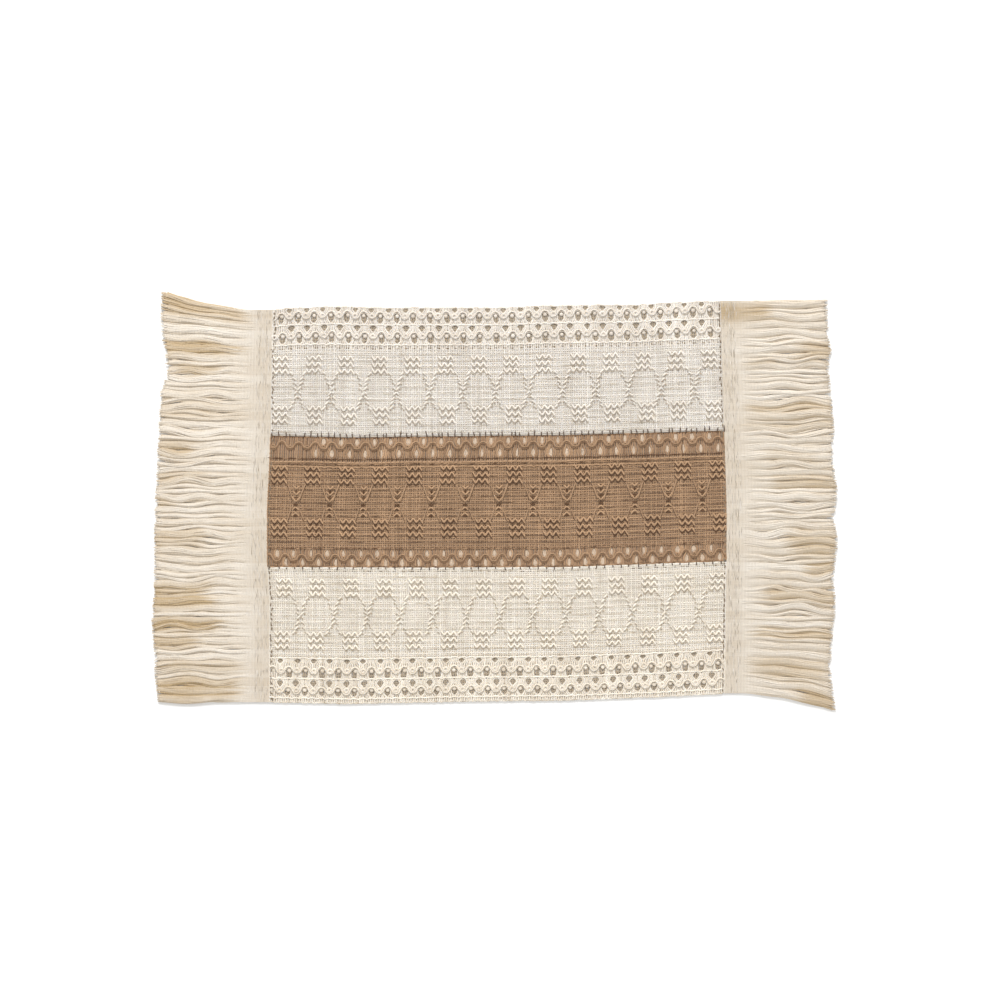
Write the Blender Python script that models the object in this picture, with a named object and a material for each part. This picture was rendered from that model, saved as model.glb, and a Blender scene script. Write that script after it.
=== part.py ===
# Fabric placemat: three woven cloths sewn edge to edge, with a fringed heading at each short end.
# Metres, +Z up. +X runs along the mat, +Y across it towards the upper cream cloth.
# The mat lies flat on Z = 0, and the origin is the middle of its outline.

import math
import random
from collections import namedtuple

import bmesh
import bpy
import numpy as np
from mathutils import Vector
from mathutils.geometry import delaunay_2d_cdt

# Driving dimensions
CLOTH_LENGTH = 0.345
CLOTH_THICKNESS = 0.0018
GAP = 0.0003
HEADING_WIDTH = 0.0138
HEADING_THICKNESS = 0.0016
CORD_HEIGHT = 0.0009
CORD_FOOT = 0.0014
CORD_FLAT_SHARE = 1 / 6
ZIGZAG_HEIGHT = 0.0007
CROSS_HEIGHT = 0.0005
STRANDS_A_SIDE = 98
STRAND_HALF_WIDTH = 0.00095
STRAND_HEIGHT = 0.0021
STRAND_TIP_HEIGHT = 0.0015
STRAND_SEGMENTS = 4
STRAND_RAGGEDNESS = 0.0012
LOCK_STRANDS = (3, 6)
LOCK_DRAW = 0.18
DRIFT_START = 0.4
EASE_POWER = 1.6
STRAND_TAPER = 0.18

# Where the long edges and the seams run, as Y over X
LevelAt = namedtuple("LevelAt", "x y")
TOP_EDGE = [
    LevelAt(-0.1720, 0.1448),
    LevelAt(-0.1558, 0.1463),
    LevelAt(-0.1250, 0.1475),
    LevelAt(-0.0870, 0.1463),
    LevelAt(0.0040, 0.1465),
    LevelAt(0.0500, 0.1482),
    LevelAt(0.1064, 0.1486),
    LevelAt(0.1300, 0.1501),
    LevelAt(0.1750, 0.1516),
]
UPPER_SEAM = [
    LevelAt(-0.1720, 0.0490),
    LevelAt(-0.1100, 0.0475),
    LevelAt(-0.0570, 0.0483),
    LevelAt(0.0500, 0.0494),
    LevelAt(0.1750, 0.0528),
]
LOWER_SEAM = [
    LevelAt(-0.1720, -0.0505),
    LevelAt(-0.0722, -0.0509),
    LevelAt(0.0494, -0.0505),
    LevelAt(0.1750, -0.0460),
]
BOTTOM_EDGE = [
    LevelAt(-0.1720, -0.1531),
    LevelAt(-0.1100, -0.1543),
    LevelAt(-0.0250, -0.1524),
    LevelAt(0.0494, -0.1516),
    LevelAt(0.1178, -0.1493),
    LevelAt(0.1750, -0.1463),
]

# Where the short edges run, and how far out the fringe reaches from the middle, over Y
SideAt = namedtuple("SideAt", "y x")
LEFT_EDGE = [
    SideAt(-0.1440, -0.1718),
    SideAt(-0.0756, -0.1718),
    SideAt(-0.0452, -0.1737),
    SideAt(-0.0072, -0.1737),
    SideAt(0.0483, -0.1710),
    SideAt(0.1448, -0.1695),
]
RIGHT_EDGE = [
    SideAt(-0.1440, 0.1748),
    SideAt(-0.0452, 0.1763),
    SideAt(0.0004, 0.1763),
    SideAt(0.0460, 0.1748),
    SideAt(0.1486, 0.1718),
]
LEFT_REACH = [
    SideAt(-0.1554, -0.2561),
    SideAt(-0.1364, -0.2584),
    SideAt(-0.0908, -0.2611),
    SideAt(-0.0642, -0.2599),
    SideAt(-0.0110, -0.2592),
    SideAt(0.0536, -0.2561),
    SideAt(0.0802, -0.2546),
    SideAt(0.0954, -0.2500),
    SideAt(0.1106, -0.2516),
    SideAt(0.1296, -0.2546),
    SideAt(0.1524, -0.2538),
]
RIGHT_REACH = [
    SideAt(-0.1554, 0.2607),
    SideAt(-0.1212, 0.2554),
    SideAt(-0.0718, 0.2592),
    SideAt(-0.0604, 0.2576),
    SideAt(-0.0300, 0.2607),
    SideAt(-0.0110, 0.2584),
    SideAt(0.0080, 0.2607),
    SideAt(0.0346, 0.2569),
    SideAt(0.0536, 0.2584),
    SideAt(0.0802, 0.2561),
    SideAt(0.0992, 0.2538),
    SideAt(0.1144, 0.2557),
    SideAt(0.1372, 0.2531),
]

# How far a strand's free end has strayed along Y from its root, over the root's Y
StrayAt = namedtuple("StrayAt", "root stray")
LEFT_STRAY = [
    StrayAt(-0.1530, -0.0040),
    StrayAt(-0.1200, -0.0008),
    StrayAt(0.0900, 0.0008),
    StrayAt(0.1120, 0.0026),
    StrayAt(0.1290, 0.0085),
    StrayAt(0.1450, 0.0152),
]
RIGHT_STRAY = [
    StrayAt(-0.1460, -0.0164),
    StrayAt(-0.1250, -0.0070),
    StrayAt(-0.1000, -0.0022),
    StrayAt(0.0000, 0.0000),
    StrayAt(0.1510, 0.0012),
]

# The slow waves that neighbouring strands share: how far aside, then the lengths along and across them
Drift = namedtuple("Drift", "aside along across turn")
DRIFTS = [
    Drift(0.0009, 0.062, 0.050, 0.10),
    Drift(0.0005, 0.040, -0.029, 0.45),
    Drift(0.0006, 0.088, 0.097, 0.80),
]

# The three cloths. Columns are the patch columns: where the first stands from the left end, and their pitch.
Cloth = namedtuple("Cloth", "name slot top bottom width first_column column_pitch")
CLOTHS = [
    Cloth("panel_upper", "cream_cotton", TOP_EDGE, UPPER_SEAM, 0.0986, 0.0085, 0.02517),
    Cloth("panel_centre", "brown_cotton", UPPER_SEAM, LOWER_SEAM, 0.0988, 0.0089, 0.02540),
    Cloth("panel_lower", "cream_cotton", LOWER_SEAM, BOTTOM_EDGE, 0.1023, 0.0124, 0.02493),
]
COLUMNS = 14

# Raised wave cords: drop is the middle line's distance below the cloth's upper edge, and first_turn is the
# first turning point's distance from the left end. hole_above and hole_below say which lobes are open.
Wave = namedtuple("Wave", "cloth drop swing first_turn starts_high pitch hole_above hole_below")
WAVES = [
    Wave("panel_upper", 0.0058, 0.0027, 0.0075, True, 0.01263, False, True),
    Wave("panel_upper", 0.0211, 0.0026, 0.0086, True, 0.01258, True, True),
    Wave("panel_centre", 0.0061, 0.0024, 0.0031, False, 0.01268, False, False),
    Wave("panel_centre", 0.0916, 0.0025, 0.0079, False, 0.01250, False, False),
    Wave("panel_lower", 0.0776, 0.0026, 0.0028, True, 0.01246, False, True),
    Wave("panel_lower", 0.0927, 0.0026, 0.0083, False, 0.01257, True, True),
]

# Rows of zigzag patches, and rows of crosses between their columns
PatchRow = namedtuple("PatchRow", "cloth drop")
PATCH_ROWS = [
    PatchRow("panel_upper", 0.0435),
    PatchRow("panel_upper", 0.0818),
    PatchRow("panel_centre", 0.0286),
    PatchRow("panel_centre", 0.0686),
    PatchRow("panel_lower", 0.0150),
    PatchRow("panel_lower", 0.0549),
]
CrossRow = namedtuple("CrossRow", "cloth drop")
CROSS_ROWS = [
    CrossRow("panel_upper", 0.0630),
    CrossRow("panel_centre", 0.0510),
    CrossRow("panel_lower", 0.0362),
]
PATCH_HALF_LENGTH = 0.0060
PATCH_HALF_WIDTH = 0.0078
ZIGZAG_LINES = 3
ZIGZAG_PITCH = 0.00495
ZIGZAG_SWING = 0.0011
ZIGZAG_POINTS = 5
ZIGZAG_REACH = 0.86
CROSS_HALF_LENGTH = 0.0048
CROSS_HALF_WIDTH = 0.0100
CROSS_OPEN_SIDE = 0.0022
CROSS_RIM = 0.0010
RELIEF_MARGIN = 0.0022

# An open lobe of a wave, as corners from the wave's middle line: below a crest, and above a trough
Corner = namedtuple("Corner", "along across")
HOLE_BELOW_CREST = [
    Corner(-0.0019, -0.0012),
    Corner(-0.0018, -0.0056),
    Corner(0.0018, -0.0056),
    Corner(0.0019, -0.0012),
]
HOLE_ABOVE_TROUGH = [
    Corner(-0.0024, 0.0070),
    Corner(-0.0015, 0.0030),
    Corner(0.0015, 0.0030),
    Corner(0.0024, 0.0070),
]

EDGE_STEPS = 15
SIDE_STEPS = 4
MERGE_DISTANCE = 1e-7

Finish = namedtuple("Finish", "slot red green blue roughness")
FINISHES = [
    Finish("cream_cotton", 0.74, 0.66, 0.56, 0.92),
    Finish("brown_cotton", 0.32, 0.20, 0.11, 0.94),
    Finish("fringe_cotton", 0.72, 0.62, 0.49, 0.9),
]


def clear_scene():
    for item in list(bpy.data.objects):
        bpy.data.objects.remove(item, do_unlink=True)


def make_materials():
    materials = {}
    for finish in FINISHES:
        material = bpy.data.materials.new(finish.slot)
        material.use_nodes = True
        shader = material.node_tree.nodes["Principled BSDF"]
        shader.inputs["Base Color"].default_value = (finish.red, finish.green, finish.blue, 1.0)
        shader.inputs["Roughness"].default_value = finish.roughness
        shader.inputs["Metallic"].default_value = 0.0
        materials[finish.slot] = material
    return materials


def level_y(line, x):
    return float(np.interp(x, [row.x for row in line], [row.y for row in line]))


def side_x(line, y):
    return float(np.interp(y, [row.y for row in line], [row.x for row in line]))


def stray_y(line, root):
    return float(np.interp(root, [row.root for row in line], [row.stray for row in line]))


def add_object(name, bm, material):
    bmesh.ops.recalc_face_normals(bm, faces=bm.faces)
    mesh = bpy.data.meshes.new(name)
    bm.to_mesh(mesh)
    bm.free()
    mesh.materials.append(material)
    item = bpy.data.objects.new(name, mesh)
    bpy.context.scene.collection.objects.link(item)
    return item


# ---- The cloths ----


class Drawing:
    """A cloth drawn flat: points and how far each is raised, outline and hole loops, and lines to keep."""

    def __init__(self):
        self.points = []
        self.heights = []
        self.loops = []
        self.lines = []

    def add_points(self, places, height=0.0):
        first = len(self.points)
        self.points.extend(places)
        self.heights.extend([height] * len(places))
        return list(range(first, first + len(places)))

    def add_loop(self, places):
        self.loops.append(self.add_points(places))

    def add_line(self, places, height=0.0):
        indices = self.add_points(places, height)
        self.lines.extend(zip(indices, indices[1:]))


def draw_outline(drawing, cloth):
    along = [CLOTH_LENGTH * step / EDGE_STEPS for step in range(EDGE_STEPS)]
    across = [cloth.width * step / SIDE_STEPS for step in range(SIDE_STEPS)]
    drawing.add_loop(
        [(u, cloth.width) for u in along]
        + [(CLOTH_LENGTH, cloth.width - v) for v in across]
        + [(CLOTH_LENGTH - u, 0.0) for u in along]
        + [(0.0, v) for v in across]
    )


def draw_wave(drawing, cloth, wave):
    """A cord that swings between crests and troughs, with the open lobes beside it."""
    middle = cloth.width - wave.drop
    half_pitch = wave.pitch / 2
    turns = int((CLOTH_LENGTH - RELIEF_MARGIN - wave.first_turn) / half_pitch) + 1
    turning_points = []
    flat_points = []
    for turn in range(turns):
        u = wave.first_turn + half_pitch * turn
        side = 1 if (turn % 2 == 0) == wave.starts_high else -1
        turning_points.append((u, side * wave.swing))
        flat = half_pitch * CORD_FLAT_SHARE
        flat_points.extend((u + nudge * flat, side * wave.swing) for nudge in (-1, 1))
    drawing.add_line([(u, middle + v) for u, v in flat_points], CORD_HEIGHT)
    for side in (-1, 1):
        drawing.add_line([(u, middle + v + side * CORD_FOOT) for u, v in turning_points])
    for u, v in turning_points[1:-1]:
        if v > 0 and wave.hole_below:
            drawing.add_loop([(u + corner.along, middle + corner.across) for corner in HOLE_BELOW_CREST])
        if v < 0 and wave.hole_above:
            drawing.add_loop([(u + corner.along, middle + corner.across) for corner in HOLE_ABOVE_TROUGH])


def draw_frame(drawing, u, v, half_length, half_width):
    """The flat rim from which a raised figure starts."""
    corners = drawing.add_points([
        (u - half_length, v - half_width),
        (u + half_length, v - half_width),
        (u + half_length, v + half_width),
        (u - half_length, v + half_width),
    ])
    drawing.lines.extend(zip(corners, corners[1:] + corners[:1]))


def draw_patch(drawing, cloth, row, column):
    """Three zigzag ribs, one above the other."""
    u = cloth.first_column + cloth.column_pitch * column
    left = max(u - PATCH_HALF_LENGTH, RELIEF_MARGIN)
    right = min(u + PATCH_HALF_LENGTH, CLOTH_LENGTH - RELIEF_MARGIN)
    middle = cloth.width - row.drop
    centre, half_length = (left + right) / 2, (right - left) / 2
    draw_frame(drawing, centre, middle, half_length, PATCH_HALF_WIDTH)
    for line in range(ZIGZAG_LINES):
        v = middle + ZIGZAG_PITCH * (line - (ZIGZAG_LINES - 1) / 2)
        reach = half_length * ZIGZAG_REACH
        places = []
        for point in range(ZIGZAG_POINTS):
            along = centre - reach + 2 * reach * point / (ZIGZAG_POINTS - 1)
            places.append((along, v + ZIGZAG_SWING * (1 if point % 2 else -1)))
        drawing.add_line(places, ZIGZAG_HEIGHT)
        if line:
            valley = v - ZIGZAG_PITCH / 2
            drawing.add_line([(centre - reach, valley), (centre + reach, valley)])


def draw_cross(drawing, cloth, row, column):
    """An hourglass in the ground between four patches: two ribs that cross, open to the left and right."""
    u = cloth.first_column + cloth.column_pitch * (column + 0.5)
    v = cloth.width - row.drop
    draw_frame(drawing, u, v, CROSS_HALF_LENGTH + CROSS_RIM, CROSS_HALF_WIDTH + CROSS_RIM)
    drawing.add_points([(u + side * CROSS_OPEN_SIDE, v) for side in (-1, 1)])
    centre = drawing.add_points([(u, v)], CROSS_HEIGHT)[0]
    for across in (-1, 1):
        ends = [(u + along * CROSS_HALF_LENGTH, v + across * CROSS_HALF_WIDTH) for along in (-1, 1)]
        drawing.lines.extend((centre, end) for end in drawing.add_points(ends, CROSS_HEIGHT))


def laid_place(cloth, u, v):
    """Where a point of the flat drawing lies on the mat, between its own edges and its neighbours' gaps."""
    nominal_x = u - CLOTH_LENGTH / 2
    bottom_gap = 0.0 if cloth.bottom is BOTTOM_EDGE else GAP / 2
    top_gap = 0.0 if cloth.top is TOP_EDGE else GAP / 2
    bottom = level_y(cloth.bottom, nominal_x) + bottom_gap
    top = level_y(cloth.top, nominal_x) - top_gap
    y = bottom + (top - bottom) * v / cloth.width
    left, right = side_x(LEFT_EDGE, y), side_x(RIGHT_EDGE, y)
    return left + (right - left) * u / CLOTH_LENGTH, y


def triangles_of(points, loops, lines):
    """Triangles between the first loop and the holes, the other loops, with every line kept as an edge."""
    edges = [(a, b) for loop in loops for a, b in zip(loop, loop[1:] + loop[:1])] + lines
    flat = [Vector(point) for point in points]
    joined, _, faces, *_ = delaunay_2d_cdt(flat, edges, [], 1, MERGE_DISTANCE)
    if len(joined) != len(points):
        raise ValueError("two drawn lines cross or share a point")
    hole_of = {index: number for number, loop in enumerate(loops[1:]) for index in loop}
    kept = []
    for face in faces:
        holes = {hole_of.get(index) for index in face}
        if len(holes) > 1 or None in holes:
            kept.append(face)
    return kept


def build_cloth(cloth, materials):
    drawing = Drawing()
    draw_outline(drawing, cloth)
    for wave in WAVES:
        if wave.cloth == cloth.name:
            draw_wave(drawing, cloth, wave)
    for row in PATCH_ROWS:
        if row.cloth == cloth.name:
            for column in range(COLUMNS):
                draw_patch(drawing, cloth, row, column)
    for row in CROSS_ROWS:
        if row.cloth == cloth.name:
            for column in range(COLUMNS - 1):
                draw_cross(drawing, cloth, row, column)

    bm = bmesh.new()
    places = [laid_place(cloth, u, v) for u, v in drawing.points]
    heights = [CLOTH_THICKNESS + height for height in drawing.heights]
    upper = [bm.verts.new((x, y, z)) for (x, y), z in zip(places, heights)]
    for face in triangles_of(drawing.points, drawing.loops, drawing.lines):
        bm.faces.new([upper[index] for index in face])

    rim = [index for loop in drawing.loops for index in loop]
    order = {index: number for number, index in enumerate(rim)}
    lower = {index: bm.verts.new((places[index][0], places[index][1], 0.0)) for index in rim}
    under_loops = [[order[index] for index in loop] for loop in drawing.loops]
    for face in triangles_of([drawing.points[index] for index in rim], under_loops, []):
        bm.faces.new([lower[rim[index]] for index in face])
    for loop in drawing.loops:
        for a, b in zip(loop, loop[1:] + loop[:1]):
            bm.faces.new([lower[a], lower[b], upper[b], upper[a]])
    return add_object(cloth.name, bm, materials[cloth.slot])


# ---- The fringed headings ----


Side = namedtuple("Side", "name sign edge reach stray seed")
SIDES = [
    Side("fringe_left", -1, LEFT_EDGE, LEFT_REACH, LEFT_STRAY, 11),
    Side("fringe_right", 1, RIGHT_EDGE, RIGHT_REACH, RIGHT_STRAY, 23),
]
INNER_STEPS = 12


def lock_centres(roots, chance):
    """The middle of the lock that each strand belongs to."""
    centres = []
    while len(centres) < len(roots):
        size = min(chance.randint(*LOCK_STRANDS), len(roots) - len(centres))
        members = roots[len(centres):len(centres) + size]
        centres.extend([sum(members) / size] * size)
    return centres


def strand_y(side, root, lock, share, length):
    """A strand's place along Y at a share of its length: its stray, its lock's pull and a slow drift."""
    ease = share ** EASE_POWER
    drift = sum(
        wave.aside * math.sin(2 * math.pi * (share * length / wave.along + root / wave.across + wave.turn))
        for wave in DRIFTS
    )
    drift *= min(1.0, share / DRIFT_START)
    return root + stray_y(side.stray, root) * ease - LOCK_DRAW * ease * (root - lock) + drift


def bridge(bm, one, other):
    """Triangles between two chains of vertices that run the same way along Y."""
    i = j = 0
    while i < len(one) - 1 or j < len(other) - 1:
        step_one = j == len(other) - 1 or (i < len(one) - 1 and one[i + 1].co.y < other[j + 1].co.y)
        if step_one:
            bm.faces.new((one[i], one[i + 1], other[j]))
            i += 1
        else:
            bm.faces.new((one[i], other[j + 1], other[j]))
            j += 1


def build_strand(bm, side, root_ring, root, lock, start_x, chance):
    """A three-sided tapering strand, flat underneath, grown from a ring of the heading's outer face."""
    length = abs(side_x(side.reach, root) - start_x) - chance.uniform(0.0, STRAND_RAGGEDNESS)
    ring = root_ring
    for step in range(1, STRAND_SEGMENTS + 1):
        share = step / STRAND_SEGMENTS
        x = start_x + side.sign * length * share
        y = strand_y(side, root, lock, share, length)
        half_width = STRAND_HALF_WIDTH * (1.0 - STRAND_TAPER * share)
        height = STRAND_HEIGHT + (STRAND_TIP_HEIGHT - STRAND_HEIGHT) * share ** 2
        ahead = [
            bm.verts.new((x, y - half_width, 0.0)),
            bm.verts.new((x, y + half_width, 0.0)),
            bm.verts.new((x, y, height)),
        ]
        for a, b in ((0, 1), (1, 2), (2, 0)):
            bm.faces.new((ring[a], ring[b], ahead[b], ahead[a]))
        ring = ahead
    bm.faces.new(ring)


def build_fringe(side, materials):
    chance = random.Random(side.seed)
    edge_x = side.edge[0].x
    low, high = level_y(BOTTOM_EDGE, edge_x), level_y(TOP_EDGE, edge_x)
    pitch = (high - low) / STRANDS_A_SIDE
    roots = [low + pitch * (number + 0.5) for number in range(STRANDS_A_SIDE)]
    locks = lock_centres(roots, chance)

    def inner_x(y):
        return side_x(side.edge, y) + side.sign * GAP

    def outer_x(y):
        return inner_x(y) + side.sign * HEADING_WIDTH

    bm = bmesh.new()
    inner_levels = [low + (high - low) * step / INNER_STEPS for step in range(INNER_STEPS + 1)]
    inner_lower = [bm.verts.new((inner_x(y), y, 0.0)) for y in inner_levels]
    inner_upper = [bm.verts.new((inner_x(y), y, HEADING_THICKNESS)) for y in inner_levels]
    outer_lower = [bm.verts.new((outer_x(low), low, 0.0))]
    outer_upper = [bm.verts.new((outer_x(low), low, HEADING_THICKNESS))]
    rings = []
    for root in roots:
        x = outer_x(root)
        near = bm.verts.new((x, root - STRAND_HALF_WIDTH, 0.0))
        far = bm.verts.new((x, root + STRAND_HALF_WIDTH, 0.0))
        peak = bm.verts.new((x, root, HEADING_THICKNESS))
        bm.faces.new((outer_lower[-1], near, outer_upper[-1]))
        bm.faces.new((near, peak, outer_upper[-1]))
        outer_lower.extend((near, far))
        outer_upper.append(peak)
        rings.append((near, far, peak))
    outer_lower.append(bm.verts.new((outer_x(high), high, 0.0)))
    outer_upper.append(bm.verts.new((outer_x(high), high, HEADING_THICKNESS)))
    bm.faces.new((outer_lower[-2], outer_lower[-1], outer_upper[-2]))
    bm.faces.new((outer_lower[-1], outer_upper[-1], outer_upper[-2]))

    bridge(bm, inner_upper, outer_upper)
    bridge(bm, inner_lower, outer_lower)
    for step in range(INNER_STEPS):
        bm.faces.new((inner_lower[step], inner_lower[step + 1], inner_upper[step + 1], inner_upper[step]))
    for end in (0, -1):
        bm.faces.new((inner_lower[end], outer_lower[end], outer_upper[end], inner_upper[end]))
    for ring, root, lock in zip(rings, roots, locks):
        build_strand(bm, side, ring, root, lock, outer_x(root), chance)
    return add_object(side.name, bm, materials["fringe_cotton"])


def centre_on_origin(items):
    """Moves all the meshes together, so that the middle of the whole outline is the origin."""
    corners = np.array([vertex.co[:] for item in items for vertex in item.data.vertices])
    middle = (corners.min(axis=0) + corners.max(axis=0)) / 2
    for item in items:
        for vertex in item.data.vertices:
            vertex.co.x -= middle[0]
            vertex.co.y -= middle[1]


def main():
    clear_scene()
    materials = make_materials()
    items = [build_cloth(cloth, materials) for cloth in CLOTHS]
    items += [build_fringe(side, materials) for side in SIDES]
    centre_on_origin(items)


main()
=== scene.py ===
# A fringed woven placemat: three cloths with lace waves and zigzag figures, two headings and two fringes.
import math

import bpy
import numpy as np
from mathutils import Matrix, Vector
from mathutils.geometry import delaunay_2d_cdt


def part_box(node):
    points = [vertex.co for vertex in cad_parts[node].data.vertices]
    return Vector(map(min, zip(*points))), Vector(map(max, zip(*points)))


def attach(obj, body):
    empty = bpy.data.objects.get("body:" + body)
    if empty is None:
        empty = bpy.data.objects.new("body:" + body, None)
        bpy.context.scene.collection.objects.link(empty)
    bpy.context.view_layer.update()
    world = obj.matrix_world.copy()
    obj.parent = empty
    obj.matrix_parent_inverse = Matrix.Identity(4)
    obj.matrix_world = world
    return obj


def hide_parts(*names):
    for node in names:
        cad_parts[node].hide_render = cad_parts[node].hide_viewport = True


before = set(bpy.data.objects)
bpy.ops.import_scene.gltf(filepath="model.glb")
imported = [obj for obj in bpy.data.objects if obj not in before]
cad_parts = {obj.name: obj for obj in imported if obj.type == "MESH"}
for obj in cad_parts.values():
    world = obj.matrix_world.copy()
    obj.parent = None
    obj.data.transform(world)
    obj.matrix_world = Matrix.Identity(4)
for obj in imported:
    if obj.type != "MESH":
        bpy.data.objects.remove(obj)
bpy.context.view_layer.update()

mm = 0.001
fullTurn = 2 * math.pi

# Outline in metres: y of the long edges and seams over x, then x of the short edges and fringe tips over y
topEdge = [(-0.1720, 0.1448), (-0.1558, 0.1463), (-0.1250, 0.1475), (-0.0870, 0.1463), (0.0040, 0.1465),
           (0.0500, 0.1482), (0.1064, 0.1486), (0.1300, 0.1501), (0.1750, 0.1516)]
upperSeam = [(-0.1720, 0.0490), (-0.1100, 0.0475), (-0.0570, 0.0483), (0.0500, 0.0494), (0.1750, 0.0528)]
lowerSeam = [(-0.1720, -0.0505), (-0.0722, -0.0509), (0.0494, -0.0505), (0.1750, -0.0460)]
bottomEdge = [(-0.1720, -0.1531), (-0.1100, -0.1543), (-0.0250, -0.1524), (0.0494, -0.1516),
              (0.1178, -0.1493), (0.1750, -0.1463)]
leftEdge = [(-0.1440, -0.1718), (-0.0756, -0.1718), (-0.0452, -0.1737), (-0.0072, -0.1737),
            (0.0483, -0.1710), (0.1448, -0.1695)]
rightEdge = [(-0.1440, 0.1748), (-0.0452, 0.1763), (0.0004, 0.1763), (0.0460, 0.1748), (0.1486, 0.1718)]
leftReach = [(-0.1554, -0.2561), (-0.1364, -0.2584), (-0.0908, -0.2611), (-0.0642, -0.2599),
             (-0.0110, -0.2592), (0.0536, -0.2561), (0.0802, -0.2546), (0.0954, -0.2500),
             (0.1106, -0.2516), (0.1296, -0.2546), (0.1524, -0.2538)]
rightReach = [(-0.1554, 0.2607), (-0.1212, 0.2554), (-0.0718, 0.2592), (-0.0604, 0.2576), (-0.0300, 0.2607),
              (-0.0110, 0.2584), (0.0080, 0.2607), (0.0346, 0.2569), (0.0536, 0.2584), (0.0802, 0.2561),
              (0.0992, 0.2538), (0.1144, 0.2557), (0.1372, 0.2531)]

# How far a strand's tip strays along y, over the y of its root
leftStray = [(-0.1530, -0.0008), (-0.1200, -0.0005), (0.0900, 0.0008), (0.1120, 0.0026), (0.1290, 0.0080),
             (0.1450, 0.0138)]
rightStray = [(-0.1460, -0.0132), (-0.1250, -0.0064), (-0.1000, -0.0022), (0.0000, 0.0), (0.1510, 0.0012)]

mat = {"length": 0.345, "gap": 0.3 * mm, "headingWidth": 13.8 * mm, "middleHeight": 0.98 * mm}


def along(table, x):
    return np.interp(x, [row[0] for row in table], [row[1] for row in table])


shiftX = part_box("panel_centre")[1].x - max(x for _, x in rightEdge)
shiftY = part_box("panel_upper")[1].y - float(along(topEdge, mat["length"] / 2))


def laid(cloth, u, v):
    # Where a point of the flat cloth lies: u from its left end, v up from its lower edge
    u, v = np.broadcast_arrays(np.asarray(u, float), np.asarray(v, float))
    nominal = u - mat["length"] / 2
    low = along(cloth["bottom"], nominal) + (0 if cloth["bottom"] is bottomEdge else mat["gap"] / 2)
    high = along(cloth["top"], nominal) - (0 if cloth["top"] is topEdge else mat["gap"] / 2)
    y = low + (high - low) * v / cloth["width"]
    left, right = along(leftEdge, y), along(rightEdge, y)
    return left + (right - left) * u / mat["length"] + shiftX, y + shiftY


def ripple(turns, start):
    return np.sin(fullTurn * (turns + start))


def noise(chance, size, points):
    return size * chance.normal(size=len(points))


# ---- helpers for objects, nodes and materials
def placed(name, data):
    item = bpy.data.objects.new(name, data)
    bpy.context.scene.collection.objects.link(item)
    return item


def claim(pieces, node=None):
    for piece in pieces:
        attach(piece, "root")
        if node:
            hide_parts(node)


def fillInputs(tree, node, inputs):
    # Each input takes a value, or a link from another node's socket
    for label, source in inputs.items():
        if hasattr(source, "links"):
            tree.links.new(source, node.inputs[label])
        else:
            node.inputs[label].default_value = source


def addNode(tree, kind, inputs=(), **settings):
    node = tree.nodes.new(kind)
    for key, value in settings.items():
        setattr(node, key, value)
    fillInputs(tree, node, dict(inputs))
    return node


def mathNode(tree, operation, *values):
    return addNode(tree, "ShaderNodeMath", enumerate(values), operation=operation).outputs[0]


def objectNoise(tree, scale, detail=2):
    place = tree.nodes.new("ShaderNodeTexCoord").outputs["Object"]
    inputs = {"Vector": place, "Scale": scale, "Detail": detail}
    return addNode(tree, "ShaderNodeTexNoise", inputs).outputs["Fac"]


def mixedColour(tree, amount, first, second):
    inputs = {0: amount, 6: (*first, 1), 7: (*second, 1)}
    return addNode(tree, "ShaderNodeMix", inputs, data_type="RGBA").outputs[2]


def newMaterial(name, inputs):
    material = bpy.data.materials.new(name)
    material.use_nodes = True
    shader = material.node_tree.nodes["Principled BSDF"]
    fillInputs(material.node_tree, shader, inputs)
    return material, material.node_tree, shader


# ---- camera, light and floor
studio = {
    "photoScale": 0.76 * mm, "photoWidth": 1000,        # metres to one pixel, and the picture's pixels
    "lens": 85, "sensor": 36, "aim": (3.8 * mm, 0.4 * mm),
    "lights": {"key": {"power": 140, "size": 1.15, "place": (-0.5, 2.75, 1.9)},
               "fill": {"power": 20, "size": 2.0, "place": (0.7, -1.6, 1.4)}},
    "worldTint": (1.0, 0.99, 0.975, 1), "worldStrength": 0.62,
    "floor": (0.86, 0.86, 0.855), "floorFleck": 1.01, "floorGrain": 3, "floorRoughness": 0.85,
    "floorHalf": 6.0,
}


def studioScene():
    scene = bpy.context.scene
    camera = bpy.data.cameras.new("camera")
    camera.lens = studio["lens"]
    camera.sensor_width = studio["sensor"]
    scene.camera = placed("camera", camera)
    height = studio["photoScale"] * studio["photoWidth"] * studio["lens"] / studio["sensor"]
    scene.camera.location = (studio["aim"][0] + shiftX, studio["aim"][1] + shiftY, height)
    for name, light in studio["lights"].items():
        lamp = bpy.data.lights.new(name, "AREA")
        lamp.shape = "SQUARE"
        lamp.size = light["size"]
        lamp.energy = light["power"]
        item = placed(name, lamp)
        item.location = light["place"]
        item.rotation_euler = (-Vector(light["place"])).to_track_quat("-Z", "Y").to_euler()
    world = bpy.data.worlds.new("studio")
    world.use_nodes = True
    fillInputs(world.node_tree, world.node_tree.nodes["Background"],
               {"Color": studio["worldTint"], "Strength": studio["worldStrength"]})
    scene.world = world
    scene.view_settings.view_transform = "Standard"
    scene.view_settings.look = "None"

    paper, tree, shader = newMaterial("palePaper", {"Roughness": studio["floorRoughness"]})
    fleck = [c * studio["floorFleck"] for c in studio["floor"]]
    tone = mixedColour(tree, objectNoise(tree, studio["floorGrain"]), studio["floor"], fleck)
    fillInputs(tree, shader, {"Base Color": tone})
    mesh = bpy.data.meshes.new("floor")
    half = studio["floorHalf"]
    corners = [(-half, -half, 0), (half, -half, 0), (half, half, 0), (-half, half, 0)]
    mesh.from_pydata(corners, [], [(0, 1, 2, 3)])
    mesh.materials.append(paper)
    placed("floor", mesh)
    print("studio set")


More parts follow.
